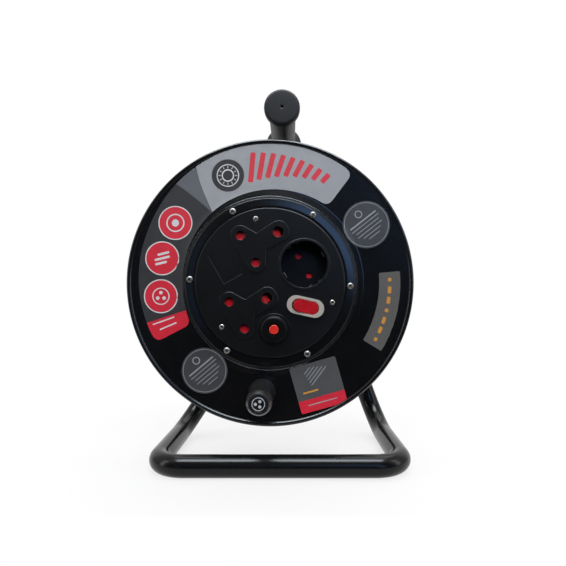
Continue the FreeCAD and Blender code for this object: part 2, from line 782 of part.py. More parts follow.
def make_drum_core():
    """Barrel between the flanges, with six screw posts and the hole for the cord's inlet."""
    body = drum_body("drum_core")
    length = f"{CORE_BACK} - {CORE_FRONT}"
    wall = add_circle(front_sketch(body, "wall_outline", CORE_FRONT), "0", "0", "core_radius")
    add_circle(wall, "0", "0", "core_radius - core_wall")
    pad(body, "wall", wall, length)
    across = "post_circle_radius * cos(screw_start_angle)"
    up = "0 - post_circle_radius * sin(screw_start_angle)"
    post = pad(body, "post", add_circle(front_sketch(body, "post_outline", CORE_FRONT), across, up,
                                        "post_radius"), length)
    front_pilot = add_circle(front_sketch(body, "front_pilot_outline", CORE_FRONT), across, up,
                             "pilot_radius")
    front_cut = pocket(body, "front_pilot", front_pilot, "pilot_depth")
    rear_pilot = add_circle(front_sketch(body, "rear_pilot_outline", f"{CORE_BACK} - pilot_depth"), across,
                            up,
                            "pilot_radius")
    rear_cut = pocket(body, "rear_pilot", rear_pilot, "pilot_depth")
    ring_of(body, [post, front_cut, rear_cut], 6)
    sketch = body.newObject("Sketcher::SketchObject", "inlet_outline")
    sketch.AttachmentSupport = [(origin_feature(body, "YZ_Plane"), "")]
    sketch.MapMode = "FlatFace"
    tilt = FreeCAD.Rotation(FreeCAD.Vector(-1, 0, 0), 10)
    sketch.AttachmentOffset = FreeCAD.Placement(FreeCAD.Vector(0, 0, 0), tilt)
    sketch.setExpression("AttachmentOffset.Rotation.Angle", bound("inlet_angle"))
    sketch.setExpression("AttachmentOffset.Base.x", bound("inlet_depth"))
    sketch.setExpression("AttachmentOffset.Base.y", bound("(core_radius + core_wall) * sin(inlet_angle)"))
    sketch.setExpression("AttachmentOffset.Base.z", bound("(core_radius + core_wall) * cos(inlet_angle)"))
    add_circle(sketch, "0", "0", "inlet_hole_radius")
    pocket(body, "inlet_hole", sketch, "4 * core_wall")


def make_cable_inlet():
    """Rubber grommet through the core's wall, its bore pointing out between the flanges."""
    body = new_body("cable_inlet")
    place(body, f"{DRUM_X}", f"{FACE_Y} + inlet_depth", "axle_height", "90 - inlet_angle", True)
    sketch = body.newObject("Sketcher::SketchObject", "grommet_outline")
    sketch.AttachmentSupport = [(origin_feature(body, "XZ_Plane"), "")]
    sketch.MapMode = "FlatFace"
    inner_top = "core_radius - core_wall - inlet_lip_gap"
    inner_low = f"{inner_top} - inlet_lip_thickness"
    outer_top = "core_radius + inlet_lip_thickness"
    add_outline(sketch, [
        ("inlet_bore_radius", inner_low), ("inlet_lip_radius", inner_low), ("inlet_lip_radius", inner_top),
        ("inlet_hole_radius", inner_top), ("inlet_hole_radius", "core_radius"),
        ("inlet_lip_radius", "core_radius"), ("inlet_lip_radius", outer_top),
        ("inlet_bore_radius", outer_top)])
    turn_sketch(body, "grommet", sketch)


def make_hub():
    """Bearing sleeve on the axle, with a flange behind the rear flange and a boss to the collar."""
    body = new_body("hub")
    place(body, DRUM_X, HUB_BACK, "axle_height")
    flange_back = "0 - hub_boss_length"
    flange_front = "0 - hub_boss_length - hub_flange_thickness"
    turn_outline(body, "sleeve", [
        (HUB_BORE_RADIUS, "0 - hub_length"), ("hub_sleeve_radius", "0 - hub_length"),
        ("hub_sleeve_radius", flange_front), ("hub_flange_radius", flange_front),
        ("hub_flange_radius", flange_back), ("hub_sleeve_radius", flange_back),
        ("hub_sleeve_radius", "0"), (HUB_BORE_RADIUS, "0")])
    hole = add_circle(front_sketch(body, "rivet_outline", flange_front), "rivet_circle_radius", "0",
                      "rivet_radius")
    ring_of(body, [pocket(body, "rivet_hole", hole, "hub_flange_thickness")], 4)


def make_hub_rivets():
    """Four rivets through the hub's flange and the rear flange."""
    body = drum_body("hub_rivets")
    sketch = plan_sketch(body, "rivet_outline")
    sketch.setExpression("AttachmentOffset.Base.x", bound("rivet_circle_radius"))
    front = CORE_BACK
    back = "drum_width + pan_depth + hub_flange_thickness"
    add_outline(sketch, [
        ("0", f"{front} - rivet_head_height"), ("rivet_head_radius", f"{front} - rivet_head_height"),
        ("rivet_head_radius", front), ("rivet_radius", front), ("rivet_radius", back),
        ("rivet_head_radius", back), ("rivet_head_radius", f"{back} + rivet_head_height"),
        ("0", f"{back} + rivet_head_height")])
    ring_of(body, [turn_sketch(body, "rivet", sketch)], 4)


def cross_screws(label, seat, across, up, count, head_radius, from_behind=False):
    """Ring of cross-head screws whose heads sit on a plane, driven backwards or, from behind, forwards."""
    body = drum_body(label)
    sketch = plan_sketch(body, "screw_outline")
    sketch.setExpression("AttachmentOffset.Base.x", bound(across))
    sketch.setExpression("AttachmentOffset.Base.z", bound(up))
    way = "-" if from_behind else "+"
    other = "+" if from_behind else "-"
    top = f"({seat}) {other} screw_head_height"
    edge = f"({seat}) {other} screw_head_height / 2"
    point = f"({seat}) {way} screw_length"
    tip = f"({seat}) {way} (screw_length - screw_shank_radius)"
    add_outline(sketch, [
        ("0", top), (f"{head_radius} * 0.62", top), (head_radius, edge), (head_radius, seat),
        ("screw_shank_radius", seat), ("screw_shank_radius", tip), ("screw_shank_radius / 3", point),
        ("0", point)])
    screw = turn_sketch(body, "screw", sketch)
    slot_front = f"({seat}) + screw_head_height - screw_slot_depth" if from_behind else top
    slots = []
    for name, length, width in (("long_slot", "screw_slot_length", "screw_slot_width"),
                                ("cross_slot", "screw_slot_width", "screw_slot_length")):
        slot = add_box(front_sketch(body, name + "_outline", slot_front), length, width, across, up)
        slots.append(pocket(body, name, slot, "screw_slot_depth"))
    ring_of(body, [screw] + slots, count)


def make_flange_screws():
    """Screws that hold each flange to the core's posts."""
    across = "post_circle_radius * cos(screw_start_angle)"
    up = "0 - post_circle_radius * sin(screw_start_angle)"
    cross_screws("front_flange_screws", RING_FRONT, across, up, 6, "screw_head_radius")
    cross_screws("rear_flange_screws", "drum_width + pan_depth", across, up, 6, "screw_head_radius", True)


def make_knob():
    """Turning handle: wide foot, waist and bulb, hollow at the front for the spindle's head."""
    body = drum_body("knob", ("0 - knob_across", f"0 - {KNOB_DROP}", "0", False))
    back = "0 - knob_gap"
    front = "0 - knob_length"
    bore = "spindle_radius + knob_bore_clearance"
    sketch = plan_sketch(body, "knob_outline")
    add_outline(sketch, [
        (bore, back), ("knob_base_radius", back), ("knob_base_radius", f"{back} - knob_base_length / 3"),
        ("knob_base_radius - 1.4", f"{back} - knob_base_length"),
        ("knob_waist_radius + 0.5", "0 - (knob_base_length + knob_waist_depth) / 2"),
        ("knob_waist_radius", "0 - knob_waist_depth"),
        ("knob_waist_radius + 0.6", "0 - knob_waist_depth - (knob_bulb_depth - knob_waist_depth) / 3"),
        ("knob_bulb_radius - 0.7", "0 - knob_waist_depth - 2 * (knob_bulb_depth - knob_waist_depth) / 3"),
        ("knob_bulb_radius", "0 - knob_bulb_depth"),
        ("knob_bulb_radius - 0.4", "0 - (knob_bulb_depth + knob_length) / 2"),
        ("knob_front_radius + 1", f"{front} + 1.2"), ("knob_front_radius", front),
        ("knob_recess_radius", front), ("knob_recess_radius", f"{front} + knob_recess_depth"),
        (bore, f"{front} + knob_recess_depth")])
    turn_sketch(body, "knob_skin", sketch)


def make_knob_cap():
    """Plain disc that closes the knob's front."""
    body = drum_body("knob_cap", ("0 - knob_across", f"0 - {KNOB_DROP}", "0", False))
    front = "0 - knob_length - 0.2"
    sketch = add_circle(front_sketch(body, "cap_outline", front), "0", "0",
                        "knob_recess_radius - knob_cap_clearance")
    pad(body, "cap", sketch, "knob_cap_thickness")


def make_knob_spindle():
    """Shoulder pin through the flange, with its head inside the knob."""
    body = drum_body("knob_spindle", ("0 - knob_across", f"0 - {KNOB_DROP}", "0", False))
    seat = "0 - knob_length + knob_recess_depth - spindle_head_gap"
    tail = "sheet_thickness + spindle_nut_height + spindle_thread_end"
    turn_outline(body, "pin", [
        ("0", f"{seat} - spindle_head_height"), ("spindle_head_radius", f"{seat} - spindle_head_height"),
        ("spindle_head_radius", seat), ("spindle_radius", seat), ("spindle_radius", "0"),
        ("spindle_tail_radius", "0"), ("spindle_tail_radius", tail), ("0", tail)])


def make_socket_face():
    """Face plate with raised pads round the three-pin sockets and a well for the two-pin socket."""
    body = drum_body("socket_face")
    disc = add_circle(front_sketch(body, "disc_outline", SOCKET_FRONT), "0", "0", "face_radius")
    plate = pad(body, "disc", disc, f"{LIP_FRONT} - {SOCKET_FRONT}")
    radius = number("face_radius")
    front = number(SOCKET_FRONT)
    soften(body, "Fillet", plate, "face_edge_round", lambda edge: is_circle(edge, radius, front))
    notch_reach = number("pad_notch_distance")
    for name, spot in (("upper", UPPER_SOCKET), ("lower", LOWER_SOCKET)):
        side = "pin_half_spacing + pad_side_margin"
        head = "earth_distance + pad_head_margin"
        sketch = add_outline(front_sketch(body, name + "_pad_outline", f"{SOCKET_FRONT} - socket_pad_rise",
                                          spot), [
            ("0 - pad_back_margin", f"0 - ({side})"), ("pad_shoulder", f"0 - ({side})"),
            ("pad_notch_distance", "0 - pad_notch_half_width"), (head, "0 - pad_head_half_width"),
            (head, "pad_head_half_width"), ("pad_notch_distance", "pad_notch_half_width"),
            ("pad_shoulder", side), ("0 - pad_back_margin", side)])
        raised = pad(body, name + "_pad", sketch, "socket_pad_rise")
        along = FreeCAD.Vector(math.cos(math.radians(number("socket_turn"))), 0,
                               math.sin(math.radians(number("socket_turn"))))
        centre = FreeCAD.Vector(number(spot[0]), 0, number(spot[1]))

        def is_lobe(edge, centre=centre, along=along):
            if not runs_deep(edge) or edge.BoundBox.YMax > number(SOCKET_FRONT) + 0.01:
                return False
            middle = edge.Vertexes[0].Point - centre
            reach = middle.dot(along)
            aside = (middle - along * reach)
            aside.y = 0
            near = -20 < reach < 40 and aside.Length < 24
            return near and abs(reach - notch_reach) > 2
        soften(body, "Fillet", raised, "pad_round", is_lobe)
    wall_front = f"{SOCKET_FRONT} - well_rim_rise"
    wall = add_circle(front_sketch(body, "well_outline", wall_front, WELL), "0", "0",
                      "well_radius + well_wall")
    pad(body, "well_block", wall, f"{WELL_CARRIER_FRONT} - ({wall_front})")
    hollow = add_circle(front_sketch(body, "hollow_outline", wall_front, WELL), "0", "0", "well_radius")
    pocket(body, "well_hollow", hollow, f"{WELL_FLOOR_FRONT} - ({wall_front})")
    back_hollow = add_circle(front_sketch(body, "back_outline", WELL_FLOOR_BACK, WELL), "0", "0",
                             "well_radius")
    pocket(body, "well_back", back_hollow, "well_skirt")
    pivot = add_circle(front_sketch(body, "pivot_outline", WELL_FLOOR_BACK, WELL), "0", "0",
                       "well_pivot_radius")
    pad(body, "well_pivot", pivot, "well_skirt")
    for name, side in (("near", "-"), ("far", "+")):
        for place_name, lift in (("low", "-"), ("high", "+")):
            key = add_box(front_sketch(body, f"{name}_{place_name}_key_outline",
                                       f"{SOCKET_FRONT} + key_front", WELL),
                          "key_height", "key_width", f"0 {side} (well_radius - key_height / 2)",
                          f"0 {lift} key_spread")
            pad(body, f"{name}_{place_name}_key", key, f"{WELL_FLOOR_FRONT} - ({SOCKET_FRONT} + key_front)")
        hole = add_circle(front_sketch(body, name + "_pin_outline", WELL_FLOOR_FRONT, WELL),
                          f"0 {side} well_pin_spacing / 2", "0", "well_pin_hole_radius")
        pocket(body, name + "_pin_hole", hole, "well_floor")
        slot = add_box(front_sketch(body, name + "_slot_outline", WELL_FLOOR_FRONT, WELL),
                       "earth_spring_width + 2 * earth_slot_gap",
                       "earth_spring_thickness + 2 * earth_slot_gap",
                       "0", f"0 {side} (well_radius - earth_spring_inset - earth_spring_thickness / 2)")
        pocket(body, name + "_spring_slot", slot, "well_floor")
    pad_front = f"{SOCKET_FRONT} - socket_pad_rise"
    depth = f"{LIP_FRONT} - ({pad_front})"
    for name, spot in (("upper", UPPER_SOCKET), ("lower", LOWER_SOCKET)):
        for pin, across, up, size in (("live", "0", "0 - pin_half_spacing", "pin_hole_radius"),
                                      ("neutral", "0", "pin_half_spacing", "pin_hole_radius"),
                                      ("earth", "earth_distance", "0", "earth_hole_radius")):
            hole = add_circle(front_sketch(body, f"{name}_{pin}_outline", pad_front, spot), across, up,
                              size)
            pocket(body, f"{name}_{pin}_hole", hole, depth)
    panel = add_box(front_sketch(body, "panel_outline", SOCKET_FRONT, UPPER_SOCKET), "panel_width",
                    "panel_height",
                    "0 - panel_across", "0 - panel_drop")
    pocket(body, "bare_panel", panel, "panel_depth")
    opening = add_box(front_sketch(body, "switch_outline", SOCKET_FRONT, SWITCH),
                      "switch_body_length + 2 * switch_fit_gap", "switch_body_width + 2 * switch_fit_gap")
    opening_cut = pocket(body, "switch_opening", opening, f"{LIP_FRONT} - {SOCKET_FRONT}")
    middle = (number("switch_across"), number("0 - switch_drop"))
    corner = math.hypot(number("switch_body_length / 2 + switch_fit_gap"),
                        number("switch_body_width / 2 + switch_fit_gap"))

    def is_opening_corner(edge):
        centre = edge.CenterOfMass
        return (runs_deep(edge)
                and abs(math.hypot(centre.x - middle[0], centre.z - middle[1]) - corner) < 0.01)
    soften(body, "Fillet", opening_cut, "switch_corner_radius + switch_fit_gap", is_opening_corner)
    neck = add_circle(front_sketch(body, "neck_outline", SOCKET_FRONT, BREAKER), "0", "0",
                      "breaker_neck_radius + breaker_neck_clearance")
    pocket(body, "neck_hole", neck, f"{LIP_FRONT} - {SOCKET_FRONT}")
    for name, spot in (("upper", UPPER_SOCKET), ("lower", LOWER_SOCKET)):
        post = add_circle(front_sketch(body, name + "_post_outline", LIP_FRONT, spot),
                          "0 - spring_post_distance", "0",
                          "spring_post_radius")
        pad(body, name + "_spring_post", post, "shutter_space - shutter_gap")
    across = "face_screw_circle * cos(face_screw_angle)"
    up = "face_screw_circle * sin(face_screw_angle)"
    spacer = pad(body, "spacer", add_circle(front_sketch(body, "spacer_outline", LIP_FRONT),
                                            f"0 - {across}",
                                            f"0 - {up}", "housing_post_radius"), "shutter_space")
    sink = pocket(body, "screw_sink", add_circle(front_sketch(body, "sink_outline", SOCKET_FRONT),
                                                 f"0 - {across}",
                                                 f"0 - {up}", "face_screw_head_radius + 0.3"),
                                                 "face_screw_recess")
    through = pocket(body, "screw_through", add_circle(
        front_sketch(body, "through_outline", SOCKET_FRONT), f"0 - {across}", f"0 - {up}",
        "screw_hole_radius"),
        f"{CARRIER_FRONT} - {SOCKET_FRONT}")
    ring_of(body, [spacer, sink, through], 3)


def make_socket_housing():
    """Cup behind the face plate, its lip clamped between the front flange and the core."""
    body = drum_body("socket_housing")
    inner = "housing_radius - housing_wall"
    turn_outline(body, "cup", [
        (inner, LIP_FRONT), ("core_radius", LIP_FRONT), ("core_radius", CORE_FRONT),
        ("housing_radius", CORE_FRONT), ("housing_radius", HOUSING_BACK), ("0", HOUSING_BACK),
        ("0", f"{HOUSING_BACK} - housing_wall"), (inner, f"{HOUSING_BACK} - housing_wall")])
    entry = add_circle(front_sketch(body, "entry_outline", f"{HOUSING_BACK} - housing_wall"), "0",
                       "0 - housing_entry_drop", "housing_entry_radius")
    pocket(body, "entry_hole", entry, "housing_wall")
    screw_holes(body, "lip_hole", LIP_FRONT, "lip_thickness", "screw_hole_radius")
    across = "0 - face_screw_circle * cos(face_screw_angle)"
    up = "0 - face_screw_circle * sin(face_screw_angle)"
    post = pad(body, "post", add_circle(front_sketch(body, "post_outline", CARRIER_BACK), across, up,
                                        "housing_post_radius"), f"{HOUSING_BACK} - {CARRIER_BACK}")
    pilot = pocket(body, "pilot", add_circle(front_sketch(body, "pilot_outline", CARRIER_BACK), across, up,
                                             "pilot_radius"), "pilot_depth")
    ring_of(body, [post, pilot], 3)


def make_face_screws():
    """Three screws sunk in the face plate."""
    across = "0 - face_screw_circle * cos(face_screw_angle)"
    up = "0 - face_screw_circle * sin(face_screw_angle)"
    cross_screws("face_screws", f"{SOCKET_FRONT} + face_screw_recess", across, up, 3,
                 "face_screw_head_radius")


def make_contact_carrier():
    """Insulating plate behind the shutters, open for the well, the switch and the breaker."""
    body = drum_body("contact_carrier")
    radius = "housing_radius - housing_wall - carrier_clearance"
    disc = add_circle(front_sketch(body, "disc_outline", CARRIER_FRONT), "0", "0", radius)
    pad(body, "disc", disc, "carrier_thickness")
    well = add_circle(front_sketch(body, "well_outline", CARRIER_FRONT, WELL), "0", "0",
                      "well_radius + well_wall + carrier_clearance")
    pocket(body, "well_opening", well, "carrier_thickness")
    opening = add_box(front_sketch(body, "switch_outline", CARRIER_FRONT, SWITCH),
                      "switch_body_length + 2 * carrier_clearance",
                      "switch_body_width + 2 * carrier_clearance")
    pocket(body, "switch_opening", opening, "carrier_thickness")
    opening = add_box(front_sketch(body, "breaker_outline", CARRIER_FRONT, BREAKER),
                      "breaker_body_width + 2 * breaker_cut_gap",
                      "breaker_body_height + 2 * breaker_cut_gap")
    pocket(body, "breaker_opening", opening, "carrier_thickness")
    for name, spot in (("upper", UPPER_SOCKET), ("lower", LOWER_SOCKET)):
        for pin, across, up, size in (("live", "0", "0 - pin_half_spacing", "pin_hole_radius"),
                                      ("neutral", "0", "pin_half_spacing", "pin_hole_radius"),
                                      ("earth", "earth_distance", "0", "earth_hole_radius")):
            hole = add_circle(front_sketch(body, f"{name}_{pin}_outline", CARRIER_FRONT, spot), across, up,
                              size)
            pocket(body, f"{name}_{pin}_hole", hole, "carrier_thickness")
    hole = add_circle(front_sketch(body, "screw_outline", CARRIER_FRONT),
                      "0 - face_screw_circle * cos(face_screw_angle)",
                      "0 - face_screw_circle * sin(face_screw_angle)", "screw_hole_radius")
    ring_of(body, [pocket(body, "screw_hole", hole, "carrier_thickness")], 3)


def make_sleeves(label, pins, pin_radius, length):
    """Brass tubes behind the carrier that take one kind of pin in both three-pin sockets."""
    body = drum_body(label)
    for name, spot in (("upper", UPPER_SOCKET), ("lower", LOWER_SOCKET)):
        for pin, across, up in pins:
            inner = f"{pin_radius} + sleeve_clearance"
            sketch = add_circle(front_sketch(body, f"{name}_{pin}_outline", CARRIER_BACK, spot), across, up,
                                f"{inner} + sleeve_wall")
            add_circle(sketch, across, up, inner)
            pad(body, f"{name}_{pin}", sketch, length)


def make_all_sleeves():
    """Live, neutral and earth sleeves."""
    make_sleeves("live_sleeves", [("live", "0", "0 - pin_half_spacing")], "phase_pin_radius",
                 "phase_sleeve_length")
    make_sleeves("neutral_sleeves", [("neutral", "0", "pin_half_spacing")], "phase_pin_radius",
                 "phase_sleeve_length")
    make_sleeves("earth_sleeves", [("earth", "earth_distance", "0")], "earth_pin_radius",
                 "earth_sleeve_length")


def spot_point(spot, across, up):
    """Give a place in a spot's frame as expressions in the drum's frame."""
    base_across, base_up, turn, clockwise = spot
    sign = "-" if clockwise else "+"
    other = "+" if clockwise else "-"
    return (f"({base_across}) + ({across}) * cos({turn}) {other} ({up}) * sin({turn})",
            f"({base_up}) {sign} ({across}) * sin({turn}) + ({up}) * cos({turn})")


def strip_outline(start, end, width):
    """Give the four corners of a flat strip between two places, square at both ends."""
    start_x, start_z = start
    end_x, end_z = end
    length = f"sqrt((({end_x}) - ({start_x}))^2 + (({end_z}) - ({start_z}))^2)"
    unit_x = f"((({end_x}) - ({start_x})) / {length})"
    unit_z = f"((({end_z}) - ({start_z})) / {length})"
    half = f"({width}) / 2"
    corners = []
    for base_x, base_z, along, aside in ((start_x, start_z, "-", "-"), (end_x, end_z, "+", "-"),
                                         (end_x, end_z, "+", "+"), (start_x, start_z, "-", "+")):
        back = "+" if aside == "-" else "-"
        corners.append((f"({base_x}) {along} {unit_x} * {half} {back} {unit_z} * {half}",
                        f"({base_z}) {along} {unit_z} * {half} {aside} {unit_x} * {half}"))
    return corners


def make_bus(label, across, up, sleeve_length, branch):
    """Brass strip across the ends of two sleeves, with a branch to the two-pin socket."""
    body = drum_body(label)
    depth = f"{CARRIER_BACK} + {sleeve_length}"
    upper = spot_point(UPPER_SOCKET, across, up)
    lower = spot_point(LOWER_SOCKET, across, up)
    sketch = add_outline(front_sketch(body, "main_outline", depth),
                         strip_outline(upper, lower, "bus_width"))
    pad(body, "main_strip", sketch, "bus_thickness")
    if branch is not None:
        start = (f"(({upper[0]}) + ({lower[0]})) / 2", f"(({upper[1]}) + ({lower[1]})) / 2")
        sketch = add_outline(front_sketch(body, "branch_outline", depth),
                             strip_outline(start, branch, "bus_width"))
        pad(body, "branch_strip", sketch, "bus_thickness")
        sleeve = "well_sleeve_radius + sleeve_wall"
        eye = add_circle(front_sketch(body, "eye_outline", depth), *branch, f"{sleeve} + bus_eye_margin")
        pad(body, "branch_eye", eye, "bus_thickness")
        hole = add_circle(front_sketch(body, "hole_outline", depth), *branch, sleeve)
        pocket(body, "branch_hole", hole, "bus_thickness")


def make_buses():
    """Live, neutral and earth strips, the earth strip nearer to the front."""
    near = spot_point(WELL, "0 - well_pin_spacing / 2", "0")
    far = spot_point(WELL, "well_pin_spacing / 2", "0")
    make_bus("live_bus", "0", "0 - pin_half_spacing", "phase_sleeve_length", far)
    make_bus("neutral_bus", "0", "pin_half_spacing", "phase_sleeve_length + 2 * bus_thickness", near)
    make_bus("earth_bus", "earth_distance", "0", "earth_sleeve_length", None)


def make_two_pin_carrier():
    """Insulating disc on the skirt of the well, with holes for the pins, the pivot and the earth strap."""
    body = drum_body("two_pin_carrier", WELL)
    disc = add_circle(front_sketch(body, "disc_outline", WELL_CARRIER_FRONT), "0", "0",
                      "well_radius + well_wall")
    pad(body, "disc", disc, "carrier_thickness")
    for name, side in (("near", "-"), ("far", "+")):
        hole = add_circle(front_sketch(body, name + "_pin_outline", WELL_CARRIER_FRONT),
                          f"0 {side} well_pin_spacing / 2", "0", "well_pin_hole_radius")
        pocket(body, name + "_pin_hole", hole, "carrier_thickness")
        slot = add_box(front_sketch(body, name + "_slot_outline", WELL_CARRIER_FRONT),
                       "earth_spring_width + 2 * earth_slot_gap",
                       "earth_spring_thickness + 2 * earth_slot_gap",
                       "0", f"0 {side} (well_radius - earth_spring_inset - earth_spring_thickness / 2)")
        pocket(body, name + "_spring_slot", slot, "carrier_thickness")


def make_two_pin_sleeves():
    """Brass tubes behind the two-pin carrier."""
    body = drum_body("two_pin_sleeves", WELL)
    for name, side in (("near", "-"), ("far", "+")):
        sketch = add_circle(front_sketch(body, name + "_outline", WELL_CARRIER_BACK),
                            f"0 {side} well_pin_spacing / 2", "0", "well_sleeve_radius + sleeve_wall")
        add_circle(sketch, f"0 {side} well_pin_spacing / 2", "0", "well_sleeve_radius")
        pad(body, name + "_sleeve", sketch, "well_sleeve_length")


def make_earth_springs():
    """Strap bent like a staple: its two ends stand inside the well's sides."""
    body = drum_body("earth_springs", WELL)
    front = f"{SOCKET_FRONT} + earth_spring_front"
    spread = "(well_radius - earth_spring_inset - earth_spring_thickness / 2)"
    bar_front = WELL_CARRIER_BACK
    bar = add_box(front_sketch(body, "bar_outline", bar_front), "earth_spring_width",
                  f"2 * {spread} + earth_spring_thickness")
    pad(body, "bar", bar, "earth_spring_thickness")
    for name, side in (("low", "-"), ("high", "+")):
        tongue = add_box(front_sketch(body, name + "_outline", front), "earth_spring_width",
                         "earth_spring_thickness", "0", f"0 {side} {spread}")
        pad(body, name + "_tongue", tongue, f"{bar_front} + earth_spring_thickness - ({front})")


def make_shutter(label, spot):
    """Sliding shutter: lobes behind the live and neutral holes, and a ramp in the earth hole."""
    body = drum_body(label, spot)
    depth = f"{LIP_FRONT} + shutter_gap"
    bridge = add_box(front_sketch(body, "bridge_outline", depth), "shutter_bridge_width",
                     "2 * pin_half_spacing",
                     "shutter_bridge_start + shutter_bridge_width / 2", "0")
    pad(body, "bridge", bridge, "shutter_thickness")
    for name, side in (("live", "-"), ("neutral", "+")):
        lobe = add_circle(front_sketch(body, name + "_outline", depth), "0", f"0 {side} pin_half_spacing",
                          "shutter_lobe_radius")
        pad(body, name + "_lobe", lobe, "shutter_thickness")
    arm_start = "shutter_bridge_start + shutter_bridge_width / 2"
    arm_end = "earth_distance + shutter_arm_reach"
    arm = add_outline(front_sketch(body, "arm_outline", depth), [
        (arm_start, "0 - shutter_arm_width / 2"), (arm_end, "0 - shutter_arm_width / 2"),
        (arm_end, "shutter_arm_width / 2"), (arm_start, "shutter_arm_width / 2")])
    grown = pad(body, "arm", arm, "shutter_thickness")
    end = number(arm_end)
    front = number(depth)

    def is_tip(edge):
        middle = edge.CenterOfMass
        return abs(middle.x - end) < 0.01 and abs(middle.y - front) < 0.01
    bevel = soften(body, "Chamfer", grown, "shutter_ramp_depth", is_tip)
    bevel.ChamferType = "Two distances"
    bevel.setExpression("Size2", bound("shutter_ramp_length"))
    doc.recompute()


def make_shutter_spring(label, spot):
    """Coil spring between a post of the face plate and the shutter's bridge."""
    body = drum_body(label, spot)
    sketch = plan_sketch(body, "wire_outline")
    sketch.setExpression("AttachmentOffset.Base.y", bound(f"{LIP_FRONT} + shutter_space / 2"))
    start = "0 - spring_post_distance + spring_post_radius + spring_seat_gap + spring_wire / 2"
    end = "shutter_bridge_start - spring_seat_gap - spring_wire / 2"
    add_circle(sketch, start, "spring_radius", "spring_wire / 2")
    coil = body.newObject("PartDesign::AdditiveHelix", "coil")
    coil.Profile = sketch
    coil.ReferenceAxis = (sketch, ["H_Axis"])
    coil.Mode = 0
    coil.setExpression("Pitch", bound("spring_pitch"))
    coil.setExpression("Height", bound(f"{end} - ({start})"))
    doc.recompute()


def make_two_pin_shutter():
    """Turning shutter on the pivot behind the well's floor, one lobe over each pin hole."""
    body = drum_body("two_pin_shutter", WELL)
    depth = f"{WELL_FLOOR_BACK} + shutter_gap"
    bar = add_box(front_sketch(body, "bar_outline", depth), "well_pin_spacing", "well_shutter_bar")
    pad(body, "bar", bar, "well_shutter_thickness")
    for name, side in (("near", "-"), ("far", "+")):
        lobe = add_circle(front_sketch(body, name + "_outline", depth), f"0 {side} well_pin_spacing / 2",
                          "0",
                          "well_shutter_lobe")
        pad(body, name + "_lobe", lobe, "well_shutter_thickness")
    hole = add_circle(front_sketch(body, "pivot_outline", depth), "0", "0",
                      "well_pivot_radius + pivot_clearance")
    pocket(body, "pivot_hole", hole, "well_shutter_thickness")


def make_switch_housing():
    """Cream bezel with round ends on the face plate, and the switch's body behind it."""
    body = drum_body("switch_housing", SWITCH)
    front = f"{SOCKET_FRONT} - bezel_rise"
    block = add_box(front_sketch(body, "block_outline", SOCKET_FRONT), "switch_body_length",
                    "switch_body_width")
    block_pad = pad(body, "block", block, "switch_body_depth")
    soften(body, "Fillet", block_pad, "switch_corner_radius", runs_deep)
    plate = add_box(front_sketch(body, "bezel_outline", front), "bezel_length", "bezel_width")
    bezel = pad(body, "bezel", plate, "bezel_rise")
    bezel_end = number("bezel_length / 2")

    def is_bezel_corner(edge):
        return runs_deep(edge) and abs(abs(edge.CenterOfMass.x) - bezel_end) < 0.01
    soften(body, "Fillet", bezel, "bezel_width / 2 - 0.05", is_bezel_corner)
    cavity = add_box(front_sketch(body, "cavity_outline", front), "rocker_length + 2 * rocker_gap",
                     "rocker_width + 2 * rocker_gap")
    hollow = pocket(body, "cavity", cavity, "bezel_rise + rocker_cavity_depth")
    reach = number("rocker_length / 2 + rocker_gap")

    def is_cavity_corner(edge):
        return runs_deep(edge) and abs(abs(edge.CenterOfMass.x) - reach) < 0.01
    soften(body, "Fillet", hollow, "rocker_width / 2 + rocker_gap - rocker_round_margin", is_cavity_corner)
    pivot = body.newObject("Sketcher::SketchObject", "pivot_outline")
    pivot.AttachmentSupport = [(origin_feature(body, "XY_Plane"), "")]
    pivot.MapMode = "FlatFace"
    add_circle(pivot, "0", f"{SOCKET_FRONT} + rocker_pivot_depth",
               "rocker_pin_radius + rocker_pin_clearance")
    before = body.Shape.Volume
    bore = body.newObject("PartDesign::Pocket", "pivot_bore")
    bore.Profile = pivot
    bore.Midplane = True
    bore.setExpression("Length", bound("rocker_width + 2 * rocker_gap + 2 * rocker_pin_length"))
    doc.recompute()
    if body.Shape.Volume >= before:
        raise RuntimeError("switch_housing: pivot_bore cuts nothing")


def make_switch_terminals():
    """Three flat blades at the back of the switch."""
    body = drum_body("switch_terminals", SWITCH)
    depth = f"{SOCKET_FRONT} + switch_body_depth"
    for name, shift in (("first", "0 - switch_terminal_pitch"), ("second", "0"),
                        ("third", "switch_terminal_pitch")):
        blade = add_box(front_sketch(body, name + "_outline", depth), "terminal_thickness",
                        "terminal_width", shift)
        pad(body, name + "_blade", blade, "terminal_length")


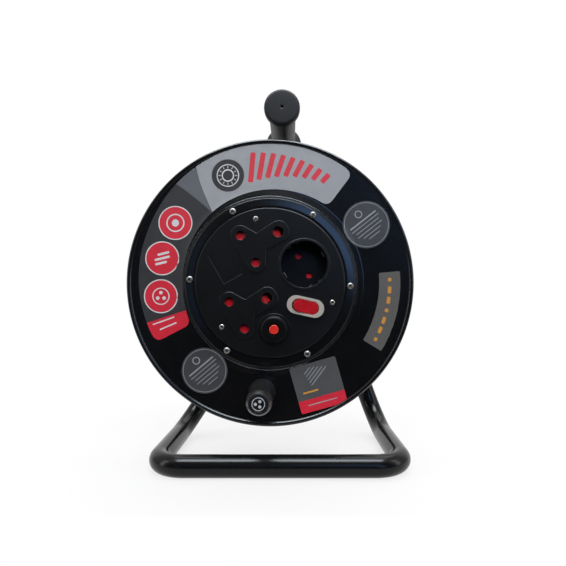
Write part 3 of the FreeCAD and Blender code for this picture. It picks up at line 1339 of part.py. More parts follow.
def make_rocker():
    """Red rocker with two sloping faces, tipped to one side, on two short pins."""
    body = drum_body("rocker", SWITCH)
    pivot = f"{SOCKET_FRONT} + rocker_pivot_depth"
    half = "rocker_length / 2"
    corners = []
    for side, angle in (("0 - ", "rocker_crown_angle + rocker_throw"),
                        ("", "rocker_crown_angle - rocker_throw")):
        corners.append((f"{side}{half} * cos({angle})", f"{pivot} - {half} * sin({angle})"))
    for side, angle in (("", "rocker_end_angle + rocker_throw"),
                        ("0 - ", "rocker_end_angle - rocker_throw")):
        corners.append((f"{side}{half} * cos({angle})", f"{pivot} + {half} * sin({angle})"))
    crown = ("rocker_rise * sin(rocker_throw)", f"{pivot} - rocker_rise * cos(rocker_throw)")
    feet = []
    for side in ("+", "-"):
        feet.append((f"0 {side} rocker_foot_reach * cos(rocker_throw)"
                     " - rocker_foot_depth * sin(rocker_throw)",
                     f"{pivot} {side} rocker_foot_reach * sin(rocker_throw)"
                     " + rocker_foot_depth * cos(rocker_throw)"))
    outline = [corners[0], crown, corners[1], corners[2], feet[0], feet[1], corners[3]]
    profile = add_outline(plan_sketch(body, "side_outline"), outline)
    block = body.newObject("PartDesign::Pad", "block")
    block.Profile = profile
    block.Midplane = True
    block.setExpression("Length", bound("rocker_width"))
    doc.recompute()
    tips = [(number(across), number(depth)) for across, depth in corners]

    def is_end_corner(edge):
        ends = [vertex.Point for vertex in edge.Vertexes]
        if len(ends) != 2 or abs(ends[0].z - ends[1].z) > 0.01:
            return False
        for first, second in ((tips[0], tips[3]), (tips[1], tips[2])):
            spots = [FreeCAD.Vector(*first, ends[0].z), FreeCAD.Vector(*second, ends[0].z)]
            if all(min(end.distanceToPoint(spot) for end in ends) < 0.01 for spot in spots):
                return True
        return False
    soften(body, "Fillet", block, "rocker_width / 2 - rocker_round_margin", is_end_corner)
    pins = add_circle(plan_sketch(body, "pin_outline"), "0", pivot, "rocker_pin_radius")
    pin = body.newObject("PartDesign::Pad", "pins")
    pin.Profile = pins
    pin.Midplane = True
    pin.setExpression("Length", bound("rocker_width + 2 * rocker_gap + 2 * rocker_pin_length"
                                      " - 2 * rocker_pin_clearance"))
    doc.recompute()


def make_breaker_body():
    """Breaker block against the back of the face plate, its neck through it and bored for the button."""
    body = drum_body("breaker_body", BREAKER)
    neck_front = f"{SOCKET_FRONT} - collar_rim_height - 1"
    block = add_box(front_sketch(body, "block_outline", LIP_FRONT), "breaker_body_width",
                    "breaker_body_height")
    pad(body, "block", block, "breaker_body_depth")
    neck = add_circle(front_sketch(body, "neck_outline", neck_front), "0", "0", "breaker_neck_radius")
    pad(body, "neck", neck, f"{LIP_FRONT} - ({neck_front})")
    bore = add_circle(front_sketch(body, "bore_outline", neck_front), "0", "0", BREAKER_NECK_BORE)
    bore_depth = f"{SOCKET_FRONT} - collar_height - button_rise + button_length - ({neck_front})"
    foot_front = f"{SOCKET_FRONT} - collar_height - button_rise + button_length - button_foot_length"
    pocket(body, "button_bore", bore, f"{bore_depth} + 0.1")
    foot = add_circle(front_sketch(body, "foot_outline", f"{foot_front} - button_travel - 0.1"), "0", "0",
                      "button_foot_radius + button_clearance")
    pocket(body, "foot_chamber", foot, "button_foot_length + button_travel + 0.2")


def make_breaker_collar():
    """Ring nut in front of the face plate: a flat rim and a domed ring round the button."""
    body = drum_body("breaker_collar", BREAKER)
    seat = SOCKET_FRONT
    rim = f"{seat} - collar_rim_height"
    top = f"{seat} - collar_height"
    neck_front = f"{seat} - collar_rim_height - 1"
    neck_bore = "breaker_neck_radius + breaker_neck_clearance"
    turn_outline(body, "ring", [
        (neck_bore, seat), ("collar_rim_radius", seat), ("collar_rim_radius", f"{rim} + 0.4"),
        ("collar_rim_radius - 0.6", rim), ("collar_radius", rim), ("collar_radius - 0.5", f"{top} + 0.8"),
        ("collar_radius - 2", top), ("button_radius + 1.2", top), ("button_radius + 0.2", f"{top} + 0.9"),
        ("button_radius + 0.2", f"{neck_front} - 0.1"), (neck_bore, f"{neck_front} - 0.1")])


def make_breaker_terminals():
    """Two flat blades at the back of the breaker."""
    body = drum_body("breaker_terminals", BREAKER)
    depth = f"{LIP_FRONT} + breaker_body_depth"
    for name, side in (("low", "-"), ("high", "+")):
        blade = add_box(front_sketch(body, name + "_outline", depth), "terminal_width",
                        "terminal_thickness", "0",
                        f"0 {side} breaker_terminal_pitch / 2")
        pad(body, name + "_blade", blade, "terminal_length")


def make_reset_button():
    """Red button with a foot that stops it inside the neck."""
    body = drum_body("reset_button", BREAKER)
    front = f"({SOCKET_FRONT} - collar_height - button_rise)"
    back = f"{front} + button_length"
    turn_outline(body, "button", [
        ("0", front), ("button_radius - 0.8", front), ("button_radius", f"{front} + 0.6"),
        ("button_radius", f"{back} - button_foot_length"), ("button_foot_radius",
                                                            f"{back} - button_foot_length"),
        ("button_foot_radius", back), ("0", back)])


def check_and_export():
    """Stop on any failed object or bad solid, then write one file for each sub-part."""
    doc.recompute()
    for item in doc.Objects:
        if "Invalid" in item.State or "Error" in item.State:
            raise RuntimeError(f"{item.Name} failed: {item.State}")
    os.makedirs("parts", exist_ok=True)
    for item in parts:
        shape = item.Shape
        if shape.isNull() or not shape.isValid() or not shape.Solids:
            raise RuntimeError(f"{item.Label} has no valid solid")
        shape.exportStep(f"parts/{item.Label}.step")
        print(f"{item.Label}: {len(shape.Solids)} solids, {shape.Volume:.1f} mm3")


def main():
    """Build every sub-part and write the files."""
    fill_sheet()
    make_stand_tube()
    make_axle_plate()
    make_axle()
    make_washer("rear_thrust_washer", "0 - axle_collar_length - thrust_washer_thickness",
                "thrust_washer_radius")
    make_washer("front_thrust_washer",
                "0 - axle_collar_length - 2 * thrust_washer_thickness - 2 * hub_end_play - hub_length",
                "thrust_washer_radius")
    make_circlip()
    make_saddle_washer()
    make_nut("axle_nut", DRUM_X, f"{LEG_PLANE} + tube_diameter / 2 + saddle_thickness", "axle_height",
             "nut_flats",
             "nut_height", "axle_tail_radius + circlip_play")
    make_grip()
    make_front_flange()
    make_rear_flange()
    make_drum_core()
    make_cable_inlet()
    make_hub()
    make_hub_rivets()
    make_flange_screws()
    make_knob()
    make_knob_cap()
    make_knob_spindle()
    make_nut("knob_nut", f"{DRUM_X} - knob_across", f"{FACE_Y} + sheet_thickness",
             f"axle_height - {KNOB_DROP}",
             "spindle_nut_flats", "spindle_nut_height", "spindle_tail_radius + circlip_play")
    make_socket_face()
    make_socket_housing()
    make_face_screws()
    make_contact_carrier()
    make_all_sleeves()
    make_buses()
    make_two_pin_carrier()
    make_two_pin_sleeves()
    make_earth_springs()
    make_shutter("upper_shutter", UPPER_SOCKET)
    make_shutter("lower_shutter", LOWER_SOCKET)
    make_shutter_spring("upper_shutter_spring", UPPER_SOCKET)
    make_shutter_spring("lower_shutter_spring", LOWER_SOCKET)
    make_two_pin_shutter()
    make_switch_housing()
    make_switch_terminals()
    make_rocker()
    make_breaker_body()
    make_breaker_collar()
    make_breaker_terminals()
    make_reset_button()
    check_and_export()


main()
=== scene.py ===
import json
import math

import bmesh
import bpy
from bpy.props import FloatProperty, FloatVectorProperty, IntProperty, PointerProperty
from mathutils import Matrix, Vector


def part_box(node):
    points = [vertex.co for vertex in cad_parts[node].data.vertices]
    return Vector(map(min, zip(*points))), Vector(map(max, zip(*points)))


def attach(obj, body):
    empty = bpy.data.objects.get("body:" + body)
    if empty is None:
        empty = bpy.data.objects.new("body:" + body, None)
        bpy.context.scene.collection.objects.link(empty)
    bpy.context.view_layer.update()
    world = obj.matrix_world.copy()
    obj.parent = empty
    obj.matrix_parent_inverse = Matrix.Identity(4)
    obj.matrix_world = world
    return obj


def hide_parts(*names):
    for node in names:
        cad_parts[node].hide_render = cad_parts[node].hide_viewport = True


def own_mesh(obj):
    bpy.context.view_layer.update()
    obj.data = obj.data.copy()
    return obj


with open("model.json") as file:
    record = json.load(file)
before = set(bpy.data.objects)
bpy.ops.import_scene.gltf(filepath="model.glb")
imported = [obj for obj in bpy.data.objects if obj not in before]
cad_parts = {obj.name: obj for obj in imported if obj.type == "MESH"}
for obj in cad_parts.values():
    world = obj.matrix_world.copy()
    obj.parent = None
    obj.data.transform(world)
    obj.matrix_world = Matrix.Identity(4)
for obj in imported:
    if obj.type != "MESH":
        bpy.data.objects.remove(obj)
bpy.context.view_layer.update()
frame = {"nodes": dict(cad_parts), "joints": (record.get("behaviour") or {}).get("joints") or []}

bl_info = {
    "name": "Cord reel finish",
    "version": (1, 0, 0),
    "blender": (4, 5, 0),
    "location": "3D View > Sidebar > Cord Reel",
    "description": "Dresses the packed cord reel with its finishes, labels, studio floor and lamps",
    "category": "Object",
}

MM = 0.001
FULL_TURN = 2 * math.pi
TIP_RADIUS = 1e-6
FLANGE_LOW, FLANGE_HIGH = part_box("front_flange")
DRUM_X = (FLANGE_LOW[0] + FLANGE_HIGH[0]) / 2
DRUM_Z = (FLANGE_LOW[2] + FLANGE_HIGH[2]) / 2
GRIP_LOW, GRIP_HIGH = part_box("grip")
KNOB_LOW, KNOB_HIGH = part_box("knob")
FLANGE_SCREWS_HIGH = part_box("front_flange_screws")[1]
FACE_SCREWS_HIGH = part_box("face_screws")[1]


def length(text, millimetres):
    """A length that a user can change, given in millimetres."""
    return FloatProperty(name=text, default=millimetres * MM, unit="LENGTH", precision=5)


def angle(text, degrees):
    """An angle that a user can change, given in degrees."""
    return FloatProperty(name=text, default=math.radians(degrees), subtype="ANGLE")


def tint(text, rgb):
    """A colour that a user can change."""
    return FloatVectorProperty(name=text, default=rgb, subtype="COLOR", size=3, min=0, max=1)


def power(text, watts, top=500):
    """A level of light that a user can change."""
    return FloatProperty(name=text, default=watts, min=0, max=top)


class ReelSizes(bpy.types.PropertyGroup):
    """Sizes of the pieces that are turned or printed here."""
    face_plane: length("Place of the front flange's flat along Y", FLANGE_LOW[1] / MM + 3)
    flange_radius: length("Outer radius of both pressed flanges", 119.97)
    flange_hole: length("Radius of the hole round the socket unit", 62.9)
    hub_hole: length("Radius of the rear flange's hole", 14.3)
    ring_radius: length("Outer radius of the raised ring", 72.2)
    slope_radius: length("Radius where the ring's slope meets the flat", 78.0)
    ring_rise: length("How far the ring stands out of the flat", 3)
    ring_crown: length("How far the ring falls off outside its screws", 0.72)
    ring_crown_width: length("Width of the ring's outer part that falls off faster", 3.2)
    sheet: length("Thickness of the pressed steel", 1)
    bead: length("Radius of the rolled rim", 2)
    drum_width: length("Distance over the two flats", 98)
    bend: length("How far each side of a pressed bend is rounded", 1.6)
    screw_circle: length("Radius of the flange screws' circle", 66.5)
    screw_start: angle("Angle of the first flange screw below the horizontal", 2.4)
    face_screw_circle: length("Radius of the face screws' circle", 54)
    face_screw_angle: angle("Angle of the first face screw", 42.5)
    face_front: length("How far the face plate stands in front of the flange's flat", 5)
    facets: IntProperty(name="Steps round each turned piece", default=192, min=24, max=512)
    label_lift: length("How far a label lies above the paint", 0.09)
    layer_lift: length("How far each printed layer lies above the one below", 0.03)


class ReelColours(bpy.types.PropertyGroup):
    """Colours of the finishes, as light reflected."""
    black_paint: tint("Gloss paint of the pressed steel and the tube", (0.0045, 0.0046, 0.005))
    face_plastic: tint("Moulded face plate of the socket unit", (0.0044, 0.0043, 0.0043))
    black_plastic: tint("Moulded core, housing and knob", (0.012, 0.012, 0.0125))
    rubber: tint("Grip and cable inlet", (0.014, 0.014, 0.015))
    shutter_red: tint("Safety shutters behind the pin holes", (0.56, 0.008, 0.016))
    rocker_red: tint("Rocker of the switch", (0.52, 0.012, 0.020))
    button_red: tint("Reset button of the breaker", (0.78, 0.035, 0.022))
    cream: tint("Bezel of the rocker switch", (0.43, 0.395, 0.35))
    nylon: tint("Insulating carriers", (0.50, 0.47, 0.40))
    brass: tint("Contacts and bars", (0.72, 0.50, 0.20))
    zinc: tint("Plated steel fasteners", (0.43, 0.42, 0.38))
    label_silver: tint("Light part of the long label", (0.33, 0.345, 0.37))
    label_grey: tint("Middle grey of the long label", (0.116, 0.125, 0.142))
    label_warm: tint("Ground of the curved strip", (0.112, 0.107, 0.098))
    label_dark: tint("Dark part of the long label", (0.036, 0.036, 0.038))
    label_slate: tint("Ground of the round labels", (0.050, 0.051, 0.053))
    label_stone: tint("Ground of the square label", (0.080, 0.082, 0.084))
    label_red: tint("Red print", (0.66, 0.021, 0.042))
    label_white: tint("White print", (0.70, 0.70, 0.70))
    label_orange: tint("Orange print", (0.62, 0.28, 0.045))
    floor: tint("Pale studio floor", (0.86, 0.86, 0.86))


class StageSettings(bpy.types.PropertyGroup):
    """Camera, lamps and floor."""
    camera_place: FloatVectorProperty(name="Where the camera stands", size=3, subtype="XYZ", unit="LENGTH",
                                      default=(0.01625, -0.45575, 0.1485))
    lens: FloatProperty(name="Focal length in millimetres on a 36 mm sensor", default=30.466)
    shift_x: FloatProperty(name="Sideways shift of the frame", default=-8 / 566)
    shift_y: FloatProperty(name="Upward shift of the frame", default=16 / 566)
    key_power: power("Power of the large lamp in front above, in watts", 19.0)
    side_power: power("Power of the lamps at both sides, in watts", 3.0)
    rim_power: power("Power of the lamp above and behind, in watts", 8.0)
    gloss_power: power("Power of the lamp above that shows in gloss only, in watts", 40.0)
    room_light: power("Level of the light from all round", 0.6, 10)


class Graph:
    """A node tree with short calls for the nodes that are used most."""

    def __init__(self, tree):
        self.tree = tree
        self.coordinates = None

    def put(self, kind, inputs=None, **settings):
        """Add a node, set its values and join the sockets given to it."""
        node = self.tree.nodes.new(kind)
        for label, value in settings.items():
            setattr(node, label, value)
        for label, value in (inputs or {}).items():
            if isinstance(value, bpy.types.NodeSocket):
                self.tree.links.new(value, node.inputs[label])
            else:
                node.inputs[label].default_value = value
        return node

    def math(self, operation, *values, clamp=False):
        """Result of a math node."""
        return self.put("ShaderNodeMath", dict(enumerate(values)), operation=operation,
                        use_clamp=clamp).outputs[0]

    def add(self, first, second, clamp=False):
        return self.math("ADD", first, second, clamp=clamp)

    def less(self, first, second):
        return self.math("SUBTRACT", first, second)

    def times(self, first, second, clamp=False):
        return self.math("MULTIPLY", first, second, clamp=clamp)

    def most(self, first, second):
        return self.math("MAXIMUM", first, second)

    def weigh(self, first, share, second, other_share):
        """Sum of two values, each times its share."""
        return self.add(self.times(first, share), self.times(second, other_share))

    def vector(self, operation, inputs):
        """Result of a vector math node, a number where the operation gives one."""
        node = self.put("ShaderNodeVectorMath", inputs, operation=operation)
        return node.outputs["Value" if operation in ("DOT_PRODUCT", "LENGTH") else "Vector"]

    def remap(self, value, low, high, start=0.0, end=1.0):
        """Map a value softly from one span to another."""
        return self.put("ShaderNodeMapRange", {"Value": value, "From Min": low, "From Max": high,
                                               "To Min": start, "To Max": end},
                        interpolation_type="SMOOTHSTEP").outputs["Result"]

    def blend(self, amount, first, second, mode="MIX"):
        """Mix two colours."""
        return self.put("ShaderNodeMix", {0: amount, 6: first, 7: second}, data_type="RGBA",
                        blend_type=mode).outputs[2]

    def place(self, kind="Object"):
        """Coordinates, unless told otherwise those fixed to the piece."""
        self.coordinates = self.coordinates or self.put("ShaderNodeTexCoord").outputs
        return self.coordinates[kind]

    def cells(self, scale, randomness=1.0):
        """Outputs of cells over the piece itself."""
        return self.put("ShaderNodeTexVoronoi", {"Vector": self.place(), "Scale": scale,
                                                 "Randomness": randomness}).outputs

    def noise(self, scale, detail=3.0, roughness=0.5, stretch=None):
        """Noise over the piece itself, so it moves with the piece."""
        place = self.place()
        if stretch:
            place = self.put("ShaderNodeMapping", {"Vector": place, "Scale": stretch}).outputs[0]
        return self.put("ShaderNodeTexNoise", {"Vector": place, "Scale": scale, "Detail": detail,
                                               "Roughness": roughness}).outputs[0]

    def group(self, name, **inputs):
        """Place a shared node group, which is made on its first use."""
        if name not in bpy.data.node_groups:
            GROUP_MAKERS[name]()
        return self.put("ShaderNodeGroup", inputs, node_tree=bpy.data.node_groups[name], label=name).outputs


def emptied(holder):
    """Graph of a material or world without its first nodes."""
    holder.use_nodes = True
    holder.node_tree.nodes.clear()
    return Graph(holder.node_tree)


GROUP_MAKERS = {}


def shared(name, outputs, **inputs):
    """Turn a function into the maker of a node group with named sockets."""
    def note(function):
        def make():
            tree = bpy.data.node_groups.new(name, "ShaderNodeTree")
            new_socket, kind = tree.interface.new_socket, "NodeSocketFloat"
            for label, default in inputs.items():
                new_socket(label, in_out="INPUT", socket_type=kind).default_value = default
            for label in outputs:
                new_socket(label, in_out="OUTPUT", socket_type=kind)
            given = tree.nodes.new("NodeGroupInput").outputs
            leave = tree.nodes.new("NodeGroupOutput").inputs
            for label, value in zip(outputs, function(Graph(tree), given)):
                tree.links.new(value, leave[label])
        GROUP_MAKERS[name] = make
        return function
    return note


@shared("Edge wear", ("Mask",), Width=0.0006, Breakup=400.0, Amount=0.6)
def edge_wear(graph, given):
    """Mask of the edges where handling has rubbed the surface."""
    rounded = graph.put("ShaderNodeBevel", {"Radius": given["Width"]}, samples=4).outputs[0]
    flat = graph.put("ShaderNodeNewGeometry").outputs["Normal"]
    edge = graph.remap(graph.less(1.0, graph.vector("DOT_PRODUCT", {0: rounded, 1: flat})), 0.015, 0.16)
    rough = graph.noise(given["Breakup"], 5.0, 0.65)
    broad = graph.noise(28.0, 2.0)
    broken = graph.remap(graph.add(rough, graph.times(broad, 0.5)), 0.66, 0.86)
    return (graph.times(graph.times(edge, broken), given["Amount"], clamp=True),)


@shared("Handling marks", ("Roughness", "Scratch"), Base=0.3, Spread=0.1, Scale=40.0, Scratches=0.2)
def handling_marks(graph, given):
    """Roughness that changes with faint smears and hairline scratches."""
    smear = graph.noise(given["Scale"], 4.0, 0.6)
    cloud = graph.noise(9.0, 2.0)
    centred = graph.times(graph.less(graph.weigh(smear, 0.65, cloud, 0.35), 0.5), 2.4)
    rough = graph.add(given["Base"], graph.times(centred, given["Spread"]))
    lines = []
    for scale, stretch in ((60.0, (1.0, 1.0, 22.0)), (52.0, (24.0, 1.0, 1.3))):
        off = graph.less(graph.noise(scale, 2.0, 0.5, stretch), 0.5)
        lines.append(graph.remap(graph.math("ABSOLUTE", off), 0.012, 0.0))
    patchy = graph.remap(graph.noise(17.0, 2.0), 0.52, 0.68)
    scratch = graph.times(graph.times(graph.most(*lines), patchy), given["Scratches"])
    return graph.add(rough, graph.times(scratch, 0.35), clamp=True), scratch


@shared("Shade drift", ("Mask",), Scale=60.0, Amount=0.2)
def shade_drift(graph, given):
    """Slow change of shade over a moulded or painted surface."""
    both = graph.weigh(graph.noise(given["Scale"], 3.0, 0.55), 0.75, graph.noise(900.0, 2.0), 0.25)
    return (graph.times(graph.remap(both, 0.3, 0.7), given["Amount"]),)


@shared("Paint skin", ("Height", "Speck"), Wave=260.0, Specks=0.3)
def paint_skin(graph, given):
    """Shallow waves of a sprayed coat, with a few trapped specks."""
    wave = graph.noise(given["Wave"], 2.0, 0.4)
    cells = graph.cells(420.0)
    near = graph.remap(cells["Distance"], 0.16, 0.03)
    picked = graph.remap(graph.put("ShaderNodeSeparateColor", {0: cells["Color"]}).outputs[0], 0.86, 0.9)
    speck = graph.times(graph.times(near, picked), given["Specks"])
    return graph.add(wave, graph.times(speck, 0.8)), speck


@shared("Moulded grain", ("Height", "Pits"), Scale=1800.0)
def moulded_grain(graph, given):
    """Fine spark-eroded grain of a moulded surface."""
    grain = graph.noise(given["Scale"], 3.0, 0.6)
    pits = graph.remap(graph.cells(given["Scale"])["Distance"], 0.1, 0.5)
    return graph.weigh(grain, 0.6, pits, 0.4), pits


@shared("Settled dust", ("Mask",), Amount=0.2, Scale=120.0)
def settled_dust(graph, given):
    """Dust that has settled on the surfaces that face up."""
    up = graph.put("ShaderNodeSeparateXYZ", {0: graph.place("Normal")}).outputs["Z"]
    facing = graph.remap(up, 0.1, 0.95, 0.18, 1.0)
    cloud = graph.remap(graph.noise(given["Scale"], 5.0, 0.7), 0.38, 0.75)
    motes = graph.remap(graph.noise(2600.0, 1.0), 0.66, 0.74)
    both = graph.weigh(cloud, 0.5, motes, 0.9)
    return (graph.times(graph.times(both, facing), given["Amount"], clamp=True),)


@shared("Drawn metal", ("Height", "Shade"), Scale=900.0)
def drawn_metal(graph, given):
    """Fine lines that run round a turned or drawn metal piece."""
    lines = graph.noise(given["Scale"], 3.0, 0.6, (1.0, 0.06, 1.0))
    bloom = graph.noise(240.0, 4.0, 0.6)
    return lines, graph.remap(graph.weigh(lines, 0.5, bloom, 0.5), 0.35, 0.65)


@shared("Label print", ("Shade", "Height"), Dots=2600.0, Crease=60.0)
def label_print(graph, given):
    """Print dots and faint creases of a vinyl label."""
    dots = graph.cells(given["Dots"], 0.4)["Distance"]
    cloud = graph.noise(34.0, 4.0, 0.6)
    crease = graph.noise(given["Crease"], 2.0, 0.5, (1.0, 1.0, 0.35))
    fine = graph.noise(700.0, 2.0)
    shade = graph.weigh(dots, 0.35, cloud, 0.65)
    return graph.remap(shade, 0.25, 0.75), graph.add(crease, graph.times(fine, 0.1))


def shade_of(colour, share):
    """The same colour, lighter or darker, with alpha."""
    return tuple(min(1.0, channel * share) for channel in colour) + (1.0,)


SPECK_GREY = (0.10, 0.10, 0.10, 1.0)
DUST_GREY = (0.36, 0.35, 0.33, 1.0)
WHITE = (1.0, 1.0, 1.0, 1.0)


def surface(name, colour, roughness, metallic=0.0, coat=0.0, coat_roughness=0.08, drift=60.0,
            drift_share=0.8, smear=40.0, spread=0.07, scratches=0.15, relief="Moulded grain", grain=1800.0,
            depth=0.02, wear=0.0, worn=None, wear_width=0.5, dust=0.0, soft_edge=0.25, subsurface=0.0,
            speculars=0.5):
    """Build one finish out of the shared groups. Grain is the relief's scale, depth its height, and worn the
    colour of rubbed edges. Widths and depths are in millimetres."""
    material = bpy.data.materials.new(name)
    graph = emptied(material)
    shader = graph.put("ShaderNodeBsdfPrincipled", {
        "Metallic": metallic, "IOR": 1.5, "Coat Weight": coat, "Coat Roughness": coat_roughness,
        "Specular IOR Level": speculars})
    graph.put("ShaderNodeOutputMaterial", {"Surface": shader.outputs[0]})
    shade = graph.group("Shade drift", Scale=drift, Amount=1.0)["Mask"]
    look = graph.blend(shade, shade_of(colour, 1.0), shade_of(colour, drift_share))
    marks = graph.group("Handling marks", Base=roughness, Spread=spread, Scale=smear, Scratches=scratches)
    rough = marks["Roughness"]
    if relief == "Paint skin":
        skin = graph.group(relief, Wave=grain, Specks=0.4)
        look = graph.blend(skin["Speck"], look, SPECK_GREY)
    elif relief == "Drawn metal":
        skin = graph.group(relief, Scale=grain)
        look = graph.blend(graph.times(skin["Shade"], 0.35), look, shade_of(colour, 0.55))
        rough = graph.add(rough, graph.times(skin["Shade"], 0.12), clamp=True)
    elif relief == "Label print":
        skin = graph.group(relief, Dots=2600.0, Crease=grain)
        look = graph.blend(graph.times(skin["Shade"], 0.5), look, shade_of(colour, 0.86))
    else:
        skin = graph.group(relief, Scale=grain)
    height = graph.less(skin["Height"], graph.times(marks["Scratch"], 0.6))
    if wear:
        rubbed = graph.group("Edge wear", Width=wear_width * MM, Breakup=420.0, Amount=wear)["Mask"]
        look = graph.blend(rubbed, look, shade_of(worn, 1.0))
        rough = graph.add(rough, graph.times(rubbed, 0.2), clamp=True)
    if dust:
        settled = graph.group("Settled dust", Amount=dust, Scale=120.0)["Mask"]
        look = graph.blend(settled, look, DUST_GREY)
        rough = graph.add(rough, graph.times(settled, 0.5), clamp=True)
    bump = {"Height": height, "Distance": depth * MM, "Strength": 1.0}
    if soft_edge:
        bump["Normal"] = graph.put("ShaderNodeBevel", {"Radius": soft_edge * MM}, samples=6).outputs[0]
    normal = graph.put("ShaderNodeBump", bump).outputs[0]
    for label, value in (("Base Color", look), ("Roughness", rough), ("Normal", normal)):
        graph.tree.links.new(value, shader.inputs[label])
    if subsurface:
        for label, value in (("Weight", subsurface), ("Radius", (0.0012, 0.0005, 0.0004)), ("Scale", 1.0)):
            shader.inputs["Subsurface " + label].default_value = value
    return material


BARE_METAL = dict(metallic=1.0, relief="Drawn metal", depth=0.008)
VINYL = dict(roughness=0.38, coat=0.2, coat_roughness=0.2, drift=90, drift_share=0.88, smear=60, spread=0.1,
             scratches=0.5, relief="Label print", grain=55, depth=0.03, dust=0.06, soft_edge=0)
FINISHES = {
    "gloss_black_paint": dict(
        colour="black_paint", roughness=0.21, coat=0.12, coat_roughness=0.1, drift=25, drift_share=0.75,
        smear=30, spread=0.05, scratches=0.12, relief="Paint skin", grain=240, depth=0.008, wear=0.3,
        worn=(0.04, 0.04, 0.042), dust=0.02),
    "tube_black_paint": dict(
        colour="black_paint", roughness=0.2, drift=30, drift_share=0.75, smear=50, spread=0.04,
        relief="Paint skin", grain=220, depth=0.004, wear=0.3, worn=(0.05, 0.05, 0.052), wear_width=0.6,
        dust=0.02, soft_edge=0.2, speculars=0.22),
    "zinc_plated_steel": dict(
        BARE_METAL, colour="zinc", roughness=0.3, drift=300, smear=160, spread=0.1, grain=1100, wear=0.4,
        worn=(0.30, 0.29, 0.27), wear_width=0.35, soft_edge=0.15),
    "blackened_spring_steel": dict(
        BARE_METAL, colour=(0.10, 0.10, 0.105), roughness=0.35, grain=900, depth=0.006, wear=0.4,
        worn=(0.35, 0.35, 0.35)),
    "contact_brass": dict(
        BARE_METAL, colour="brass", roughness=0.28, drift=200, drift_share=0.75, grain=1000, spread=0.12),
    "nickel_strip": dict(
        BARE_METAL, colour=(0.30, 0.29, 0.27), roughness=0.4, drift=200, drift_share=0.7, grain=1000),
    "black_moulded_plastic": dict(
        colour="black_plastic", roughness=0.42, drift=50, spread=0.09, grain=1900, wear=0.3,
        worn=(0.05, 0.05, 0.052), dust=0.05),
    "bearing_plastic": dict(
        colour=(0.03, 0.03, 0.031), roughness=0.35, grain=1500, depth=0.015, wear=0.2,
        worn=(0.09, 0.09, 0.09), dust=0.05),
    "satin_rubber": dict(
        colour="rubber", roughness=0.48, drift=35, drift_share=0.72, smear=45, spread=0.12, scratches=0.5,
        grain=1500, depth=0.03, wear=0.3, worn=(0.06, 0.06, 0.062), wear_width=0.8, dust=0.05, soft_edge=0,
        speculars=0.28),
    "inlet_rubber": dict(colour="rubber", roughness=0.6, grain=1400, depth=0.03, dust=0.08),
    "face_plate_plastic": dict(
        colour="face_plastic", roughness=0.36, drift=45, smear=55, spread=0.06, scratches=0.08, grain=1700,
        depth=0.012, wear=0.45, worn=(0.07, 0.07, 0.072), wear_width=0.6, dust=0.02, soft_edge=0.55,
        speculars=0.4),
    "shutter_plastic": dict(
        colour="shutter_red", roughness=0.35, grain=1500, depth=0.01, drift=120, subsurface=0.15, dust=0.05),
    "carrier_nylon": dict(colour="nylon", roughness=0.5, grain=1600, dust=0.05),
    "cream_plastic": dict(
        colour="cream", roughness=0.42, drift=110, drift_share=0.9, spread=0.1, grain=1500, depth=0.014,
        wear=0.25, worn=(0.42, 0.38, 0.34), dust=0.08, soft_edge=0.3, subsurface=0.05),
    "rocker_plastic": dict(
        colour="rocker_red", roughness=0.17, coat=0.7, coat_roughness=0.05, drift=140, drift_share=0.72,
        spread=0.06, grain=900, depth=0.008, wear=0.2, worn=(0.7, 0.2, 0.2), soft_edge=0.35, subsurface=0.3),
    "nut_plastic": dict(
        colour=(0.003, 0.003, 0.003), roughness=0.42, grain=1500, depth=0.012, wear=0.3,
        worn=(0.03, 0.03, 0.03), wear_width=0.4, dust=0.02, soft_edge=0.2, speculars=0.16),
    "button_plastic": dict(
        colour="button_red", roughness=0.28, coat=0.2, drift=200, grain=1200, depth=0.008, wear=0.3,
        worn=(0.8, 0.3, 0.25), wear_width=0.4, subsurface=0.2, dust=0.04, soft_edge=0),
    "knob_plastic": dict(
        colour="black_plastic", roughness=0.32, coat=0.1, coat_roughness=0.2, drift=80, drift_share=0.7,
        smear=70, spread=0.12, scratches=0.5, grain=1400, depth=0.016, wear=0.35, worn=(0.06, 0.06, 0.062),
        dust=0.06, soft_edge=0),
    "cap_plastic": dict(
        colour=(0.008, 0.008, 0.0085), roughness=0.35, drift=220, drift_share=0.7, grain=1200, depth=0.01,
        wear=0.3, worn=(0.06, 0.06, 0.06), wear_width=0.3, dust=0.05, soft_edge=0),
    "knob_white_print": dict(VINYL, colour=(0.52, 0.54, 0.57)),
}
INKS = ("silver", "grey", "warm", "dark", "slate", "stone", "red", "white", "orange")
FINISHES.update({"vinyl_" + ink: dict(VINYL, colour="label_" + ink) for ink in INKS})


def finish(name, colours):
    """Material of a finish in the table, made on its first use."""
    if name in bpy.data.materials:
        return bpy.data.materials[name]
    settings = dict(FINISHES[name])
    colour = settings.pop("colour")
    return surface(name, getattr(colours, colour) if isinstance(colour, str) else colour, **settings)


def add_piece(name, mesh, material, body, replaces=()):
    """Put a mesh in the scene, give it its finish and let it ride on its body."""
    if len(mesh.vertices) == 0:
        raise RuntimeError(f"{name} came out empty")
    piece = bpy.data.objects.new(name, mesh)
    bpy.context.scene.collection.objects.link(piece)
    mesh.materials.append(material)
    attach(piece, body)
    if replaces:
        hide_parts(*replaces)
    return piece


def remake(node, mesh, material, body):
    """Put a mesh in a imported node's place."""
    return add_piece(mesh.name, mesh, material, body, (node,))


def dress(material, nodes):
    """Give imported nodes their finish."""
    for node in nodes:
        piece = frame["nodes"][node]
        if not piece.material_slots:
            piece.data.materials.append(material)
        for place in piece.material_slots:
            place.material = material


